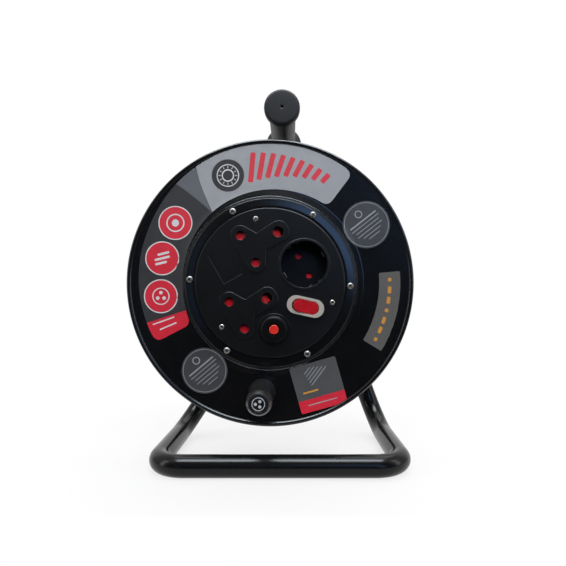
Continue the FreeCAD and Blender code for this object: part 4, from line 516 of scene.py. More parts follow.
def settle(name, shape, sharp=35.0, recalculate=True):
    """Finished mesh with smooth faces, and sharp edges only where it really turns."""
    if recalculate:
        bmesh.ops.recalc_face_normals(shape, faces=shape.faces)
    shape.normal_update()
    for face in shape.faces:
        face.smooth = True
    for edge in shape.edges:
        edge.smooth = len(edge.link_faces) == 2 and edge.calc_face_angle(0.0) < math.radians(sharp)
    mesh = bpy.data.meshes.new(name)
    shape.to_mesh(mesh)
    shape.free()
    return mesh


def mesh_from(name, points, faces, sharp=35.0):
    """Mesh of points and faces that already face the right way."""
    shape = bmesh.new()
    corners = [shape.verts.new(point) for point in points]
    for face in faces:
        shape.faces.new([corners[index] for index in face])
    return settle(name, shape, sharp, recalculate=False)


def bridge(shape, near, far):
    """Faces between two rings of points. A ring of one point is a tip."""
    count = max(len(near), len(far))
    for step in range(count if count > 1 else 0):
        following = (step + 1) % count
        corners = [near[step % len(near)], near[following % len(near)], far[following % len(far)],
                   far[step % len(far)]]
        shape.faces.new(list(dict.fromkeys(corners)))


def round_corners(points, reaches, steps=6, closed=False):
    """Round the corners of a profile. A reach says how far from its corner each curve starts."""
    count = len(points)
    rounded = []
    for index, (point, reach) in enumerate(zip(points, reaches)):
        if reach <= 0 or (not closed and index in (0, count - 1)):
            rounded.append(point)
            continue
        here = Vector(point)
        before = Vector(points[index - 1]) - here
        after = Vector(points[(index + 1) % count]) - here
        reach = min(reach, before.length * 0.49, after.length * 0.49)
        start = here + before.normalized() * reach
        end = here + after.normalized() * reach
        for step in range(steps + 1):
            share = step / steps
            curve = start * (1 - share) ** 2 + here * 2 * share * (1 - share) + end * share ** 2
            rounded.append((curve.x, curve.y))
    return rounded


def profile_of(corners, steps):
    """Profile from corners of (radius, depth, reach of the rounding) in millimetres."""
    scaled = [[value * MM for value in corner] for corner in corners]
    return round_corners([corner[:2] for corner in scaled], [corner[2] for corner in scaled], steps)


def smooth_profile(points, steps):
    """Run a soft curve through the points of a turned profile."""
    out = []
    row = [Vector(point) for point in (points[0], *points, points[-1])]
    for p0, p1, p2, p3 in zip(row, row[1:], row[2:], row[3:]):
        for step in range(steps):
            t = step / steps
            out.append(tuple(0.5 * ((2 * p1) + (p2 - p0) * t + (2 * p0 - 5 * p1 + 4 * p2 - p3) * t * t
                                    + (3 * p1 - p0 - 3 * p2 + p3) * t ** 3)))
    return out + [points[-1]]


def lathe(name, profile, centre, facets, closed=False, sharp=35.0):
    """Turn a profile of (radius, depth) round the Y axis through a centre. Depth counts backwards."""
    shape = bmesh.new()
    rings = []
    for radius, depth in profile:
        tip = radius < TIP_RADIUS
        reach = 0.0 if tip else radius
        turns = [FULL_TURN * step / facets for step in range(1 if tip else facets)]
        rings.append([shape.verts.new((centre[0] + reach * math.cos(turn), centre[1] + depth,
                                       centre[2] + reach * math.sin(turn))) for turn in turns])
    for near, far in zip(rings, rings[1:] + (rings[:1] if closed else [])):
        bridge(shape, near, far)
    return settle(name, shape, sharp)


def coil_mesh(name, start, along, reach, radius, wire, turns):
    """Coil of round wire that fills a reach from its start."""
    aside = along.cross(Vector((0.0, 1.0, 0.0))).normalized()
    out = along.cross(aside)
    steps, sides = int(turns * 24), 10
    shape = bmesh.new()
    rings = []
    for step in range(steps + 1):
        turn = FULL_TURN * turns * step / steps
        spoke = aside * math.cos(turn) + out * math.sin(turn)
        middle = start + along * (wire + (reach - 2 * wire) * step / steps) + spoke * radius
        rolls = [FULL_TURN * side / sides for side in range(sides)]
        rings.append([shape.verts.new(middle + spoke * wire * math.cos(roll) + along * wire * math.sin(roll))
                      for roll in rolls])
    for near, far in zip(rings, rings[1:]):
        bridge(shape, near, far)
    shape.faces.new(rings[0])
    shape.faces.new(rings[-1])
    return settle(name, shape)


def joined(name, meshes):
    """One mesh from several, which keep the faces and edges they have."""
    shape = bmesh.new()
    for mesh in meshes:
        shape.from_mesh(mesh)
    made = bpy.data.meshes.new(name)
    shape.to_mesh(made)
    shape.free()
    return made


def join_copies(name, mesh, spots, facing=1):
    """Repeat one mesh at several spots (x, y, z, roll) in one piece. Facing -1 turns it to the back."""
    copies = []
    flip = Matrix.Rotation(math.pi, 4, "Z") if facing < 0 else Matrix.Identity(4)
    for x, y, z, roll in spots:
        copies.append(mesh.copy())
        copies[-1].transform(Matrix.Translation((x, y, z)) @ Matrix.Rotation(roll, 4, "Y") @ flip)
    return joined(name, copies)


def flange_front_profile(sizes):
    """Front surface of the front flange, from the hole to the rim, in (radius, depth)."""
    rim = sizes.flange_radius - sizes.bead
    crown = sizes.ring_radius - sizes.ring_crown_width
    crest, lip = -sizes.ring_rise, 1.2 * MM
    points = [(sizes.flange_hole, crest), (sizes.flange_hole + lip, crest), (crown, crest + sizes.ring_crown),
              (sizes.ring_radius, crest + 1.9 * sizes.ring_crown), (sizes.slope_radius, 0.0), (rim, 0.0)]
    return round_corners(points, (0, 0.5 * MM, sizes.bend, sizes.bend, sizes.bend / 2, 0), 8)


def steps_between(pairs):
    """Function that runs straight between pairs of a place and a value."""
    def value(place):
        if place <= pairs[0][0]:
            return pairs[0][1]
        for (a0, v0), (a1, v1) in zip(pairs, pairs[1:]):
            if place <= a1:
                return v0 + (v1 - v0) * (place - a0) / max(a1 - a0, 1e-9)
        return pairs[-1][1]
    return value


def rolled_rim(rim, middle, radius, steps=28):
    """Rolled rim, run from the sheet's front face round to its back face."""
    entry = math.asin(middle / radius)
    turns = [(math.pi - entry) - (FULL_TURN - 2 * entry) * step / steps for step in range(steps + 1)]
    return [(rim + radius * math.cos(turn), middle - radius * math.sin(turn)) for turn in turns]


def flange_mesh(name, sizes, hole, front=True):
    """Pressed flange: flat lip, raised ring, rounded bends and a rolled rim."""
    rim = sizes.flange_radius - sizes.bead
    sheet, middle, crest = sizes.sheet, sizes.sheet / 2, sizes.sheet - sizes.ring_rise
    front_side = flange_front_profile(sizes)[:-1]
    if hole < sizes.flange_hole:
        front_side[0] = (hole, -sizes.ring_rise)
    behind = round_corners([(rim, sheet), (sizes.slope_radius - middle, sheet),
                            (sizes.ring_radius - middle, crest), (hole, crest)],
                           (0, sizes.bend, sizes.bend, 0), 8)
    profile = front_side + rolled_rim(rim, middle, sizes.bead) + behind[1:]
    plane = sizes.face_plane
    if not front:
        profile = [(radius, -depth) for radius, depth in profile]
        plane += sizes.drum_width
    return lathe(name, profile, (DRUM_X, plane, DRUM_Z), sizes.facets, closed=True, sharp=40)


FLAT_RINGS = (1.0, 0.5)
DISC_RINGS = (1.0, 0.9, 0.5)
LONG_RINGS = (1.0, 0.985, 0.93, 0.84, 0.74, 0.62, 0.5, 0.36, 0.2)
FINE_RINGS = tuple(1.0 - 0.045 * step for step in range(21))


class LabelSheet:
    """Thin patches on the front flange that follow its pressing. Outlines and spots are in millimetres."""

    def __init__(self, sizes):
        self.sizes = sizes
        self.rise = steps_between(flange_front_profile(sizes))
        self.points, self.faces = [], []

    def lay(self, places, lift):
        """Add points at a height above the paint. Returns the number of the first."""
        first = len(self.points)
        for across, up in places:
            depth = self.rise(math.hypot(across, up) * MM) - lift
            self.points.append((DRUM_X + across * MM, self.sizes.face_plane + depth, DRUM_Z + up * MM))
        return first

    def bridge(self, near, far, count):
        """Faces between two rows of points."""
        for step in range(count):
            following = (step + 1) % count
            self.faces.append((near + step, near + following, far + following, far + step))

    def add(self, outline, spot, layer=0, rings=FLAT_RINGS):
        """Lay a patch down. The outline runs anticlockwise, and spot maps it onto the flange."""
        lift = self.sizes.label_lift + layer * self.sizes.layer_lift
        count = len(outline)
        middle = (sum(s for s, _ in outline) / count, sum(t for _, t in outline) / count)
        rows = [self.lay([spot(s, t) for s, t in outline], lift - self.sizes.layer_lift * 1.5)]
        for ring in rings:
            rows.append(self.lay([spot(middle[0] + (s - middle[0]) * ring, middle[1] + (t - middle[1]) * ring)
                                  for s, t in outline], lift))
        for near, far in zip(rows, rows[1:]):
            self.bridge(near, far, count)
        centre, last = self.lay([spot(*middle)], lift), rows[-1]
        self.faces += [(last + step, last + (step + 1) % count, centre) for step in range(count)]

    def band(self, outer, inner, spot, layer):
        """Lay down a round line between two radii, with more sides where it is larger."""
        sides = 72 if outer < 4 else 180 if outer > 16 else 120
        lift = self.sizes.label_lift + layer * self.sizes.layer_lift
        rows = [self.lay([spot(s, t) for s, t in disc(radius, sides)], lift) for radius in (outer, inner)]
        self.bridge(*rows, sides)


class Label:
    """A printed label with one sheet for each of its parts. Parts maps each part to its ink."""

    def __init__(self, name, sizes, parts):
        self.name, self.parts = name, parts
        self.sheets = {part: LabelSheet(sizes) for part in parts}

    def __getitem__(self, part):
        return self.sheets[part]

    def finish(self, inks):
        """Make a piece of each sheet."""
        for part, ink in self.parts.items():
            name = f"{self.name}_{part}"
            sheet = self.sheets[part]
            add_piece(name, mesh_from(name, sheet.points, sheet.faces, sharp=50), inks[ink], "drum")


def polar(radius, degrees, across=0.0, up=0.0):
    """Place at an angle round a centre."""
    turn = math.radians(degrees)
    return across + radius * math.cos(turn), up + radius * math.sin(turn)


def disc(radius, count=120):
    """Round outline."""
    return [polar(radius, 360 * step / count) for step in range(count)]


def divided(corners, step):
    """Put points along the sides of an outline."""
    outline = []
    for index, (s, t) in enumerate(corners):
        s2, t2 = corners[(index + 1) % len(corners)]
        parts = max(1, int(math.hypot(s2 - s, t2 - t) / step))
        outline += [(s + (s2 - s) * part / parts, t + (t2 - t) * part / parts) for part in range(parts)]
    return outline


def box_outline(width, height, corner=0.0, step=1.5, centre=(0.0, 0.0)):
    """Rectangle with round corners, divided finely enough to follow the pressing."""
    corners = [(a * width / 2, b * height / 2) for a, b in ((-1, -1), (1, -1), (1, 1), (-1, 1))]
    reach = corner if isinstance(corner, tuple) else (corner,) * 4
    rounded = round_corners(corners, [r * 1.15 for r in reach], 7, closed=True)
    return [(centre[0] + s, centre[1] + t) for s, t in divided(rounded, step)]


def flat_spot(across, up, degrees=0.0):
    """Spot on the flange that is turned anticlockwise."""
    cos, sin = polar(1.0, degrees)
    return lambda s, t: (across + s * cos - t * sin, up + s * sin + t * cos)


def shifted(spot, across, up):
    """The same spot, moved within its own frame."""
    return lambda s, t: spot(s + across, t + up)


def arc_spot(start, end, inner, outer, width, height):
    """Spot that bends a rectangle round the drum. Its inner and outer radius depend on the angle."""
    def spot(s, t):
        degrees = start + (end - start) * (s / width + 0.5)
        low, high = inner(degrees), outer(degrees)
        return polar(low + (high - low) * (t / height + 0.5), degrees)
    return spot


def spoke_spot(degrees, inner, outer, half=0.55):
    """Spot that turns a unit square into a thin bar along a radius."""
    cos, sin = polar(1.0, degrees)

    def spot(s, t):
        radius, aside = inner + (outer - inner) * (s + 0.5), 2 * t * half
        return radius * cos - aside * sin, radius * sin + aside * cos
    return spot


class Step:
    """What the operators share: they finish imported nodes, and then make their own pieces."""
    dressed = {}

    def execute(self, context):
        scene = context.scene
        for name, nodes in self.dressed.items():
            dress(finish(name, scene.reel_colours), nodes)
        self.build(scene.reel_sizes, scene.reel_colours)
        return {"FINISHED"}

    def build(self, sizes, colours):
        """Make the pieces of this step."""


class REEL_OT_stage(Step, bpy.types.Operator):
    """Build the floor, the backdrop, the lamps and the camera"""
    bl_idname = "reel.stage"
    bl_label = "Stage"

    def build(self, sizes, colours):
        scene = bpy.context.scene
        stage = scene.reel_stage
        scene.view_settings.view_transform = "Standard"
        self.build_world(scene, stage)
        floor = self.build_floor(colours)
        wall = self.build_backdrop()
        self.build_lamps(stage)
        camera = bpy.data.cameras.new("camera")
        camera.sensor_width = 36.0
        camera.lens, camera.shift_x, camera.shift_y = stage.lens, stage.shift_x, stage.shift_y
        camera.clip_start = 0.01
        holder = self.linked("camera", camera)
        holder.location = stage.camera_place
        holder.rotation_euler = (math.pi / 2, 0, 0)
        scene.camera = holder

    def linked(self, name, data):
        """New object in the scene."""
        holder = bpy.data.objects.new(name, data)
        bpy.context.scene.collection.objects.link(holder)
        return holder

    def build_world(self, scene, stage):
        """Dim room light all round, with white behind the object for the camera."""
        world = bpy.data.worlds.new("studio")
        graph = emptied(world)
        direction = graph.place("Generated")

        def towards(view, way, low, high):
            """How nearly a direction points one way, over a span."""
            return graph.remap(graph.vector("DOT_PRODUCT", {0: view, 1: Vector(way).normalized()}), low, high)
        ahead = graph.vector("DOT_PRODUCT", {0: direction, 1: (0.0, -1.0, 0.0)})
        level = graph.remap(ahead, 0.66, 0.30, 0.02, 1.0)
        parts = graph.put("ShaderNodeSeparateXYZ", {0: direction}).outputs
        level = graph.times(level, graph.remap(parts["Z"], -0.4, 0.6, 0.45, 1.15))
        level = graph.times(level, stage.room_light)
        around = graph.put("ShaderNodeCombineXYZ", {0: parts["X"], 1: 0.0, 2: parts["Z"]}).outputs[0]
        around = graph.vector("NORMALIZE", {0: around})
        belt = graph.times(graph.remap(ahead, 0.940, 0.915), graph.remap(ahead, 0.83, 0.865))
        windows = graph.weigh(towards(around, (0.70, 0.0, 0.71), 0.60, 0.95), 3.0,
                              towards(around, (-1.0, 0.0, 0.1), 0.75, 0.97), 0.35)
        warm = graph.vector("SCALE", {0: (1.0, 0.99, 0.98), "Scale": level})
        blue = graph.vector("SCALE", {0: (0.26, 0.50, 1.0), "Scale": graph.times(belt, windows)})
        light = graph.blend(1.0, warm, blue, "ADD")
        room = graph.put("ShaderNodeBackground", {"Color": light, "Strength": 1.0})
        white = graph.put("ShaderNodeBackground", {"Color": WHITE, "Strength": 1.0})
        seen = graph.put("ShaderNodeLightPath").outputs["Is Camera Ray"]
        self.show_white(graph, seen, room, white, "ShaderNodeOutputWorld")
        scene.world = world

    def show_white(self, graph, amount, plain, white, kind="ShaderNodeOutputMaterial"):
        """Show white in place of the plain surface, by an amount."""
        mixed = graph.put("ShaderNodeMixShader", {0: amount, 1: plain.outputs[0], 2: white.outputs[0]})
        graph.put(kind, {"Surface": mixed.outputs[0]})

    def seen_directly(self, graph):
        """One where the camera, a mirror-like surface or glass looks at the surface."""
        path = graph.put("ShaderNodeLightPath").outputs
        mirrored = graph.most(path["Is Glossy Ray"], path["Is Transmission Ray"])
        return graph.most(path["Is Camera Ray"], mirrored)

    def build_floor(self, colours):
        """Round pale floor that starts just in front of the stand."""
        middle, radius, sides = 0.93, 1.07, 180
        rim = [polar(radius, 2 * side, 0.0, middle) for side in range(sides)]
        points = [(0.0, middle, 0.0)] + [(x, y, 0.0) for x, y in rim]
        mesh = mesh_from("floor", points, [(0, 1 + side, 1 + (side + 1) % sides) for side in range(sides)])
        material = bpy.data.materials.new("pale_floor")
        graph = emptied(material)
        place = graph.place()
        rough = graph.noise(30.0, 4.0)
        shader = graph.put("ShaderNodeBsdfPrincipled", {
            "Base Color": graph.blend(rough, shade_of(colours.floor, 1.0), shade_of(colours.floor, 0.98)),
            "Roughness": graph.remap(rough, 0.0, 1.0, 0.75, 0.9), "Specular IOR Level": 0.2})
        white = graph.put("ShaderNodeEmission", {"Color": WHITE, "Strength": 1.0})
        away = graph.vector("LENGTH", {0: place})
        along = graph.put("ShaderNodeSeparateXYZ", {0: place}).outputs["Y"]
        bare = graph.most(graph.remap(away, 0.16, 0.34, 0.74, 1.0), graph.remap(along, -0.100, -0.136))
        self.show_white(graph, graph.times(self.seen_directly(graph), bare), shader, white)
        mesh.materials.append(material)
        floor = self.linked("floor", mesh)
        floor.location.z = -0.00005
        return floor

    def build_backdrop(self):
        """Curved white wall behind the object."""
        radius, height, steps = 2.1, 1.9, 40
        points = []
        for step in range(steps + 1):
            x, y = polar(radius, 20 + 140 * step / steps, 0.0, 0.3)
            points += [(x, y, 0.0), (x, y, height)]
        faces = [(2 * step, 2 * step + 2, 2 * step + 3, 2 * step + 1) for step in range(steps)]
        mesh = mesh_from("backdrop", points, faces)
        material = bpy.data.materials.new("white_backdrop")
        graph = emptied(material)
        dull = graph.put("ShaderNodeBsdfDiffuse", {"Color": (0.85, 0.85, 0.85, 1.0)})
        white = graph.put("ShaderNodeEmission", {"Color": WHITE, "Strength": 1.0})
        self.show_white(graph, self.seen_directly(graph), dull, white)
        mesh.materials.append(material)
        return self.linked("backdrop", mesh)

    def build_lamps(self, stage):
        """Soft lamps: a large one in front above, one at each side, one behind and one for gloss alone."""
        drum, base = (0.0, 0.0, 0.16), (0.0, -0.078, 0.012)
        for name, place, target, size, watts, colour in (
                ("key", (0.12, -1.25, 1.0), drum, (1.5, 0.8), stage.key_power, (1.0, 0.985, 0.96)),
                ("left", (-1.25, -0.45, 0.55), drum, (0.25, 1.1), stage.side_power, (0.97, 0.98, 1.0)),
                ("right", (1.25, -0.35, 0.6), drum, (0.3, 1.1), stage.side_power, (0.95, 0.98, 1.0)),
                ("rim", (0.1, 0.5, 1.3), drum, (1.4, 0.9), stage.rim_power, (0.99, 0.99, 1.0)),
                ("gloss", (0.0, -0.50, 1.46), base, (1.35, 0.56), stage.gloss_power, (0.86, 0.94, 1.0))):
            lamp = bpy.data.lights.new(name, "AREA")
            lamp.shape = "RECTANGLE"
            lamp.size, lamp.size_y = size
            lamp.energy, lamp.color = watts, colour
            holder = self.linked(name, lamp)
            holder.location = place
            holder.rotation_euler = (Vector(target) - Vector(place)).to_track_quat("-Z", "Y").to_euler()
            holder.visible_glossy = name != "key"
            holder.visible_diffuse = name != "gloss"


class REEL_OT_stand(Step, bpy.types.Operator):
    """Finish the bent tube, the axle plate and the axle's fasteners"""
    bl_idname = "reel.stand"
    bl_label = "Stand"
    dressed = {
        "tube_black_paint": ("stand_tube", "axle_plate"),
        "zinc_plated_steel": ("axle", "saddle_washer", "axle_nut", "rear_thrust_washer",
                              "front_thrust_washer"),
        "blackened_spring_steel": ("axle_circlip",),
    }


class REEL_OT_grip(Step, bpy.types.Operator):
    """Mould the rubber grip over the tube's end"""
    bl_idname = "reel.grip"
    bl_label = "Grip"

    def build(self, sizes, colours):
        reach = (GRIP_HIGH[1] - GRIP_LOW[1]) / MM
        outer = (GRIP_HIGH[0] - GRIP_LOW[0]) / 2 / MM
        front, body, bore, vent, wall = 15.2, 11.6, 9.55, 1.1, 3.5
        corners = [(vent, 2.2, 0), (vent, 0.25, 0.2), (1.9, 0, 0.3), (front, 0, 2.6), (front, 7, 1.2),
                   (body, 10.6, 1.5), (body, reach - 8.9, 2), (outer, reach - 4.5, 1), (outer, reach, 1.6),
                   (bore, reach, 0.4), (bore, wall, 0), (vent, wall, 0)]
        centre = ((GRIP_LOW[0] + GRIP_HIGH[0]) / 2, GRIP_LOW[1], (GRIP_LOW[2] + GRIP_HIGH[2]) / 2)
        mesh = lathe("rubber_grip", profile_of(corners, 5), centre, max(96, sizes.facets // 2), closed=True)
        remake("grip", mesh, finish("satin_rubber", colours), "stand")


class REEL_OT_flanges(Step, bpy.types.Operator):
    """Press both flanges with rounded bends and a rolled rim"""
    bl_idname = "reel.flanges"
    bl_label = "Flanges"

    def build(self, sizes, colours):
        for side, hole in (("front", sizes.flange_hole), ("rear", sizes.hub_hole)):
            mesh = flange_mesh(side + "_flange_pressing", sizes, hole, side == "front")
            remake(side + "_flange", mesh, finish("gloss_black_paint", colours), "drum")


class REEL_OT_core(Step, bpy.types.Operator):
    """Finish the barrel, the hub, the rivets and the cable inlet"""
    bl_idname = "reel.core"
    bl_label = "Core and hub"
    dressed = {
        "black_moulded_plastic": ("drum_core", "socket_housing", "breaker_body"),
        "bearing_plastic": ("hub",),
        "inlet_rubber": ("cable_inlet",),
        "zinc_plated_steel": ("hub_rivets", "knob_nut", "knob_spindle"),
    }


class REEL_OT_socket_unit(Step, bpy.types.Operator):
    """Finish the face plate, the shutters and the contacts"""
    bl_idname = "reel.socket_unit"
    bl_label = "Socket unit"
    dressed = {
        "face_plate_plastic": ("socket_face",),
        "shutter_plastic": ("upper_shutter", "lower_shutter", "two_pin_shutter"),
        "carrier_nylon": ("contact_carrier", "two_pin_carrier"),
        "contact_brass": ("live_sleeves", "neutral_sleeves", "earth_sleeves", "live_bus", "neutral_bus",
                          "earth_bus", "two_pin_sleeves", "switch_terminals", "breaker_terminals"),
        "nickel_strip": ("earth_springs",),
    }

    def build(self, sizes, colours):
        """Coil springs that the shutters press together as they open."""
        wire, radius, turns = 0.2 * MM, 1.2 * MM, 4.48
        slides = {joint["name"]: joint for joint in frame["joints"]}
        for side in ("upper", "lower"):
            node = side + "_shutter_spring"
            low, high = (Vector(corner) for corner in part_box(node))
            slide = slides[side + "_shutter_slide"]
            closing = Vector(slide["axis"]).normalized() * -1
            reach = (high.x - low.x - 2 * (radius + wire) * abs(closing.z)) / abs(closing.x)
            seat = (low + high) / 2 - closing * reach / 2
            coil = coil_mesh(side + "_spring_coil", seat, closing, reach, radius, wire, turns)
            piece = remake(node, coil, finish("zinc_plated_steel", colours), "drum")
            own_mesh(piece)


class REEL_OT_switch(Step, bpy.types.Operator):
    """Finish the cream bezel and the red rocker"""
    bl_idname = "reel.switch"
    bl_label = "Rocker switch"
    dressed = {"cream_plastic": ("switch_housing",), "rocker_plastic": ("rocker",)}


class REEL_OT_breaker(Step, bpy.types.Operator):
    """Turn the breaker's ring nut and its red reset button"""
    bl_idname = "reel.breaker"
    bl_label = "Breaker"

    def build(self, sizes, colours):
        low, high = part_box("breaker_collar")
        centre = ((low[0] + high[0]) / 2, sizes.face_plane - sizes.face_front, (low[2] + high[2]) / 2)
        corners = [(6.55, 0, 0), (13.4, 0, 0.1), (13.4, -0.8, 0.35), (12.8, -1.2, 0.3), (11.1, -1.2, 0.35),
                   (10.6, -2.6, 0.8), (9.1, -3.4, 0.9), (5.1, -3.4, 0.45), (4.1, -2.5, 0.4), (4.1, -2.1, 0),
                   (6.55, -2.1, 0)]
        mesh = lathe("breaker_ring_nut", profile_of(corners, 6), centre, 128, closed=True)
        remake("breaker_collar", mesh, finish("nut_plastic", colours), "drum")
        low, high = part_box("reset_button")
        centre = ((low[0] + high[0]) / 2, low[1], (low[2] + high[2]) / 2)
        foot = (high[0] - low[0]) / 2 / MM
        corners = [(0, 0.28, 0), (1.5, 0.22, 0.5), (2.7, 0.06, 0.5), (3.4, 0, 0.35), (3.9, 0.5, 0.35),
                   (3.9, 7.5, 0), (foot, 7.5, 0.1), (foot, 9, 0.1), (0, 9, 0)]
        mesh = lathe("reset_button_cap", profile_of(corners, 5), centre, 96)
        remake("reset_button", mesh, finish("button_plastic", colours), "reset_button")


class REEL_OT_knob(Step, bpy.types.Operator):
    """Turn the winding knob and its plain cap"""
    bl_idname = "reel.knob"
    bl_label = "Knob"

    def build(self, sizes, colours):
        centre = ((KNOB_LOW[0] + KNOB_HIGH[0]) / 2, sizes.face_plane, (KNOB_LOW[2] + KNOB_HIGH[2]) / 2)

        def turned(name, points, where=centre, facets=96, **settings):
            """Turned piece from a profile in millimetres."""
            profile = [(radius * MM, depth * MM) for radius, depth in points]
            return lathe(name, profile, where, facets, **settings)
        side = [(11.3, -2.7), (9.95, -7.4), (8.1, -13.0), (7.6, -19.0), (8.2, -25.0), (9.5, -31.0),
                (10.15, -37.0), (9.8, -41.8), (8.3, -45.3)]
        points = [(3.56, -0.4), (10.9, -0.4), (11.33, -0.8)] + smooth_profile(side, 5)
        points += [(7.7, -46.35), (7.2, -46.58), (6.45, -46.58), (6.2, -46.3), (6.2, -41.2), (3.56, -41.2)]
        remake("knob", turned("turning_knob", points, facets=128, closed=True, sharp=30),
               finish("knob_plastic", colours), "knob")
        cap = [(0, -46.66), (5.85, -46.66), (6.05, -46.6), (6.15, -46.45), (6.15, -45.0), (0, -45.0)]
        remake("knob_cap", turned("knob_end_cap", cap), finish("cap_plastic", colours), "knob")
        front, back, outer, inner, size, ring = -46.74, -46.68, 5.0, 4.45, 1.15, 2.2 * MM
        line = turned("knob_line", [(outer, back), (outer, front), (inner, front), (inner, back)],
                      closed=True)
        dot = turned("knob_dot", [(0, front), (size, front), (size, back)], (0, 0, 0), 32)
        spots = []
        for degrees in (60, 180, 300):
            x, z = polar(ring, degrees, centre[0], centre[2])
            spots.append((x, centre[1], z, 0))
        mesh = joined("knob_print", [line, join_copies("knob_dots", dot, spots)])
        add_piece("knob_print", mesh, finish("knob_white_print", colours), "knob")


class REEL_OT_screws(Step, bpy.types.Operator):
    """Turn the cross-head screws of the flanges and the face plate"""
    bl_idname = "reel.screws"
    bl_label = "Screws"

    def build(self, sizes, colours):
        zinc = finish("zinc_plated_steel", colours)
        start, face_start = -math.degrees(sizes.screw_start), 180 + math.degrees(sizes.face_screw_angle)
        ring = [polar(sizes.screw_circle, start + 60 * index, DRUM_X, DRUM_Z) for index in range(6)]
        head = self.screw_mesh(FLANGE_SCREWS_HIGH[0] - ring[0][0])
        rolls = (0.3, 1.0, 0.1, 0.75, 1.3, 0.55)
        for side, depth, facing in (("front", sizes.face_plane - sizes.ring_rise, 1),
                                    ("rear", sizes.face_plane + sizes.drum_width + sizes.ring_rise, -1)):
            spots = [(x, depth, z, facing * roll) for (x, z), roll in zip(ring, rolls)]
            remake(side + "_flange_screws", join_copies(side + "_screws", head, spots, facing), zinc, "drum")
        ring = [polar(sizes.face_screw_circle, face_start + 120 * index, DRUM_X, DRUM_Z)
                for index in range(3)]
        small = self.screw_mesh(FACE_SCREWS_HIGH[0] - max(x for x, z in ring))
        recess = 1.4 * MM
        seat = sizes.face_plane - sizes.face_front + recess
        spots = [(x, seat, z, roll) for (x, z), roll in zip(ring, (0.5, 1.2, 0.2))]
        remake("face_screws", join_copies("face_plate_screws", small, spots), zinc, "drum")

    def screw_mesh(self, radius):
        """Pan-head screw with a tapered cross recess, seated at depth zero and driven towards +Y."""
        wide, top, shank, tip = radius / MM, -2.2, 1.55, 12
        corners = [(0, top, 0), (wide * 0.45, top + 0.08, 0.5), (wide * 0.8, top + 0.5, 0.5),
                   (wide * 0.97, top + 1.2, 0.35), (wide, -0.35, 0.2), (wide, 0, 0.1), (shank, 0, 0),
                   (shank, 10.4, 0.3), (0.5, tip, 0.3), (0, tip, 0)]
        turned = lathe("screw_blank", profile_of(corners, 4), (0, 0, 0), 48)
        blank = bpy.data.objects.new("screw_blank", turned)
        shape = bmesh.new()
        for quarter in range(2):
            spin = Matrix.Rotation(quarter * math.pi / 2, 4, "Y")
            points = []
            for depth, long, thin in ((top - 0.1, wide * 0.74, 0.5), (top + 1.5, wide * 0.28, 0.3)):
                for a, b in ((-1, -1), (1, -1), (1, 1), (-1, 1)):
                    points.append(shape.verts.new(spin @ (Vector((a * long, depth, b * thin)) * MM)))
            for face in ((0, 1, 2, 3), (7, 6, 5, 4), (0, 4, 5, 1), (1, 5, 6, 2), (2, 6, 7, 3), (3, 7, 4, 0)):
                shape.faces.new([points[index] for index in face])
        cutter = bpy.data.objects.new("screw_cutter", settle("screw_cutter", shape))
        for piece in (blank, cutter):
            bpy.context.scene.collection.objects.link(piece)
        cut = blank.modifiers.new("cross", "BOOLEAN")
        cut.operation, cut.object, cut.solver, cut.use_self = "DIFFERENCE", cutter, "EXACT", True
        made = bpy.data.meshes.new_from_object(blank.evaluated_get(bpy.context.evaluated_depsgraph_get()))
        for piece in (blank, cutter):
            bpy.data.objects.remove(piece)
        shape = bmesh.new()
        shape.from_mesh(made)
        bpy.data.meshes.remove(made)
        return settle("cross_head_screw", shape, 30, recalculate=False)


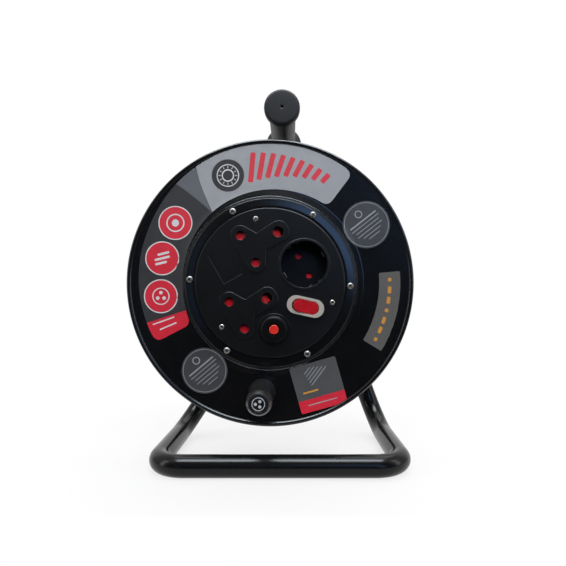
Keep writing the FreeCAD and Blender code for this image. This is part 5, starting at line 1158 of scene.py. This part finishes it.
class REEL_OT_labels(Step, bpy.types.Operator):
    """Lay the printed vinyl labels on the front flange"""
    bl_idname = "reel.labels"
    bl_label = "Labels"

    def build(self, sizes, colours):
        inks = {ink: finish("vinyl_" + ink, colours) for ink in INKS}
        for label in (self.long_label(sizes), self.round_labels(sizes), self.strip_label(sizes),
                      self.square_label(sizes)):
            label.finish(inks)

    def long_label(self, sizes):
        """Label that follows the drum from the right of the top round to the lower left."""
        label = Label("long_label", sizes, {"dark": "dark", "silver": "silver", "wedge": "grey", "red": "red",
                                            "white": "white", "discs": "red", "dark_disc": "dark",
                                            "marks": "white"})
        start, end, width, height, corner = 53, 207.5, 256, 36, 6
        inner = steps_between([(53, 80.0), (75, 78.8), (90, 78.1), (110, 77.2), (130, 76.2), (150, 74.4),
                               (165, 73.2), (180, 72.7), (195, 73.3), (208, 74.6)])
        outer = steps_between([(53, 114.6), (75, 116.0), (105, 116.6), (130, 114.4), (155, 111.2),
                               (180, 109.8), (208, 107.4)])
        whole = arc_spot(start, end, inner, outer, width, height)

        def along(degrees):
            """Place of an angle along the label."""
            return ((degrees - start) / (end - start) - 0.5) * width

        def part(first, last, corners):
            """Outline of the label between two angles."""
            return box_outline(along(last) - along(first), height, corners, 1.2,
                               ((along(first) + along(last)) / 2, 0.0))
        label["dark"].add(part(start, end, (corner,) * 4), whole, 0, LONG_RINGS)
        slant = part(start, 126, (corner, 0, 0, corner))
        lean = along(start + 3.2) - along(start)
        left, right = min(s for s, _ in slant), max(s for s, _ in slant)
        slant = [(s - lean * (t / (height / 2)) * (s - left) / (right - left), t) for s, t in slant]
        label["silver"].add(slant, whole, 1, LONG_RINGS)
        wedge = [(along(129.6), -height / 2), (along(133.5), height / 2), (along(122.6), height / 2)]
        label["wedge"].add(divided(wedge, 1.2), whole, 1, LONG_RINGS)
        label["red"].add(part(198.0, end, (0, corner, corner, 0)), whole, 1, LONG_RINGS)
        for index in range(9):
            degrees = 99.0 - 4.6 * index
            spot = flat_spot(*polar(97.6 + 0.12 * index, degrees), degrees - 14)
            label["red"].add(box_outline(25.0 - 2.0 * index, 4.3, 0.9, 2), spot, 2)
        size = 13.8
        discs = [polar(93.6, 147.7), polar(92.4, 167.2), polar(91.9, 187.0)]
        for middle in discs:
            label["white"].add(disc(size + 0.4), flat_spot(*middle, 20), 1, DISC_RINGS)
            label["discs"].add(disc(size - 0.5), flat_spot(*middle, 20), 2, DISC_RINGS)
        self.disc_marks(label["marks"], *discs)
        dial = (-35.3, 89.6)
        spot = flat_spot(*dial, 10)
        label["dark_disc"].add(disc(13.5), spot, 2, DISC_RINGS)
        label["marks"].band(9.4, 8.6, spot, 3)
        label["marks"].band(5.2, 4.2, spot, 3)
        for degrees in range(0, 360, 30):
            tick = flat_spot(*polar(6.9, degrees, *dial), degrees)
            label["marks"].add(box_outline(1.9, 0.5, 0, 2), tick, 3)
        return label

    def disc_marks(self, marks, upper, middle, lower):
        """Plain rings, bars and dots inside the three red discs, and rules on the label's end."""
        marks.band(7.6, 6.5, flat_spot(*upper), 3)
        marks.add(disc(3.0, 48), flat_spot(*upper), 3)
        for step in (-1, 0, 1):
            spot = flat_spot(middle[0] + step, middle[1] + step * 4.0, 14)
            marks.add(box_outline(13 - 3 * abs(step), 1.9, 0.9, 2), spot, 3)
        marks.band(7.2, 6.3, flat_spot(*lower), 3)
        for degrees in (90, 210, 330):
            marks.add(disc(1.5, 36), flat_spot(*polar(3.0, degrees, *lower)), 3)
        for step in range(2):
            marks.add(box_outline(1, 1, 0, 0.1), spoke_spot(199.6 + 3.4 * step, 85, 104 - 4 * step), 3)

    def round_labels(self, sizes):
        """Two round dark labels with plain rings and rules."""
        label = Label("round_label", sizes, {"dark": "slate", "marks": "silver"})
        marks = label["marks"]
        for across, up, radius, lean in ((80.3, 48.6, 19.8, 38), (-54.8, -73.3, 19.2, 40)):
            spot = flat_spot(across, up, lean)
            label["dark"].add(disc(radius, 180), spot, 0, FINE_RINGS)
            marks.band(radius - 1.2, radius - 1.6, spot, 1)
            for row, share in enumerate((0.95, 0.95, 0.8, 0.9, 0.7, 0.55)):
                level = 4.5 - 3.1 * row
                half = math.sqrt(max(0.0, (radius - 5) ** 2 - level ** 2))
                high = 1.1 if row == 0 else 0.55
                marks.add(box_outline(2 * half * share, high, 0, 1.1, (0.0, level)), spot, 1)
            marks.band(3.2, 2.4, shifted(spot, 0.0, 10.8), 1)
        return label

    def strip_label(self, sizes):
        """Curved strip at the right with orange dashes."""
        label = Label("strip_label", sizes, {"grey": "warm", "marks": "orange"})
        width, height = 64, 17.6
        spot = arc_spot(-31.6, 5.2, lambda degrees: 91, lambda degrees: 108.7, width, height)
        label["grey"].add(box_outline(width, height, 1.2), spot, 0, (1.0, 0.97, 0.8, 0.5))
        for index in range(7):
            dash = box_outline(5.8 if index % 3 else 3.0, 3.0, 0.8, 1.5, (-26.0 + 8.6 * index, 0.0))
            label["marks"].add(dash, spot, 1)
        return label

    def square_label(self, sizes):
        """Square label with a red band along its lower side."""
        label = Label("square_label", sizes, {"dark": "stone", "red": "red", "marks": "silver",
                                              "accent": "orange"})
        side, band, across, up, lean = 39.8, 10.6, 40.3, -85.5, 15.7
        spot = flat_spot(across, up, lean)
        label["dark"].add(box_outline(side, side, 1.6, 0.8), spot, 0, FINE_RINGS)
        label["red"].add(box_outline(side, band, (1.6, 1.6, 0, 0), 1.2, (0.0, -(side - band) / 2)), spot, 1,
                         (1.0, 0.9, 0.6, 0.3))
        hatch = flat_spot(across, up, lean + 38)
        for index in range(5):
            line = box_outline(20 - 3.2 * index, 0.55)
            label["marks"].add(line, shifted(hatch, 6.5 - 0.6 * index, 4.5 + 2.6 * index), 1)
        label["marks"].add(box_outline(side * 0.62, 0.8, 0.3, 1.5, (0.0, -14.2)), spot, 2)
        label["accent"].add(box_outline(13, 1.5, 0.6, 1.5, (-7.5, -3.4)), spot, 1)
        return label


class REEL_PT_build(bpy.types.Panel):
    """Lists the steps that dress the cord reel"""
    bl_label = "Cord Reel"
    bl_space_type = "VIEW_3D"
    bl_region_type = "UI"
    bl_category = "Cord Reel"

    def draw(self, context):
        for operator in OPERATORS:
            self.layout.operator(operator.bl_idname)
        for group_name in SETTINGS:
            settings = getattr(context.scene, group_name)
            box = self.layout.box()
            for label in settings.bl_rna.properties.keys():
                if label not in ("rna_type", "name"):
                    box.prop(settings, label)


SETTINGS = {"reel_sizes": ReelSizes, "reel_colours": ReelColours, "reel_stage": StageSettings}
OPERATORS = (REEL_OT_stage, REEL_OT_stand, REEL_OT_grip, REEL_OT_flanges, REEL_OT_core, REEL_OT_socket_unit,
             REEL_OT_switch, REEL_OT_breaker, REEL_OT_knob, REEL_OT_screws, REEL_OT_labels)
CLASSES = (*SETTINGS.values(), *OPERATORS, REEL_PT_build)


def register():
    for item in CLASSES:
        bpy.utils.register_class(item)
    for name, kind in SETTINGS.items():
        setattr(bpy.types.Scene, name, PointerProperty(type=kind))


def unregister():
    for name in SETTINGS:
        delattr(bpy.types.Scene, name)
    for item in reversed(CLASSES):
        bpy.utils.unregister_class(item)


def main():
    """Dress the whole reel."""
    register()
    bpy.ops.reel.stage()
    bpy.ops.reel.stand()
    bpy.ops.reel.grip()
    bpy.ops.reel.flanges()
    bpy.ops.reel.core()
    bpy.ops.reel.socket_unit()
    bpy.ops.reel.switch()
    bpy.ops.reel.breaker()
    bpy.ops.reel.knob()
    bpy.ops.reel.screws()
    bpy.ops.reel.labels()


if __name__ == "__main__":
    main()
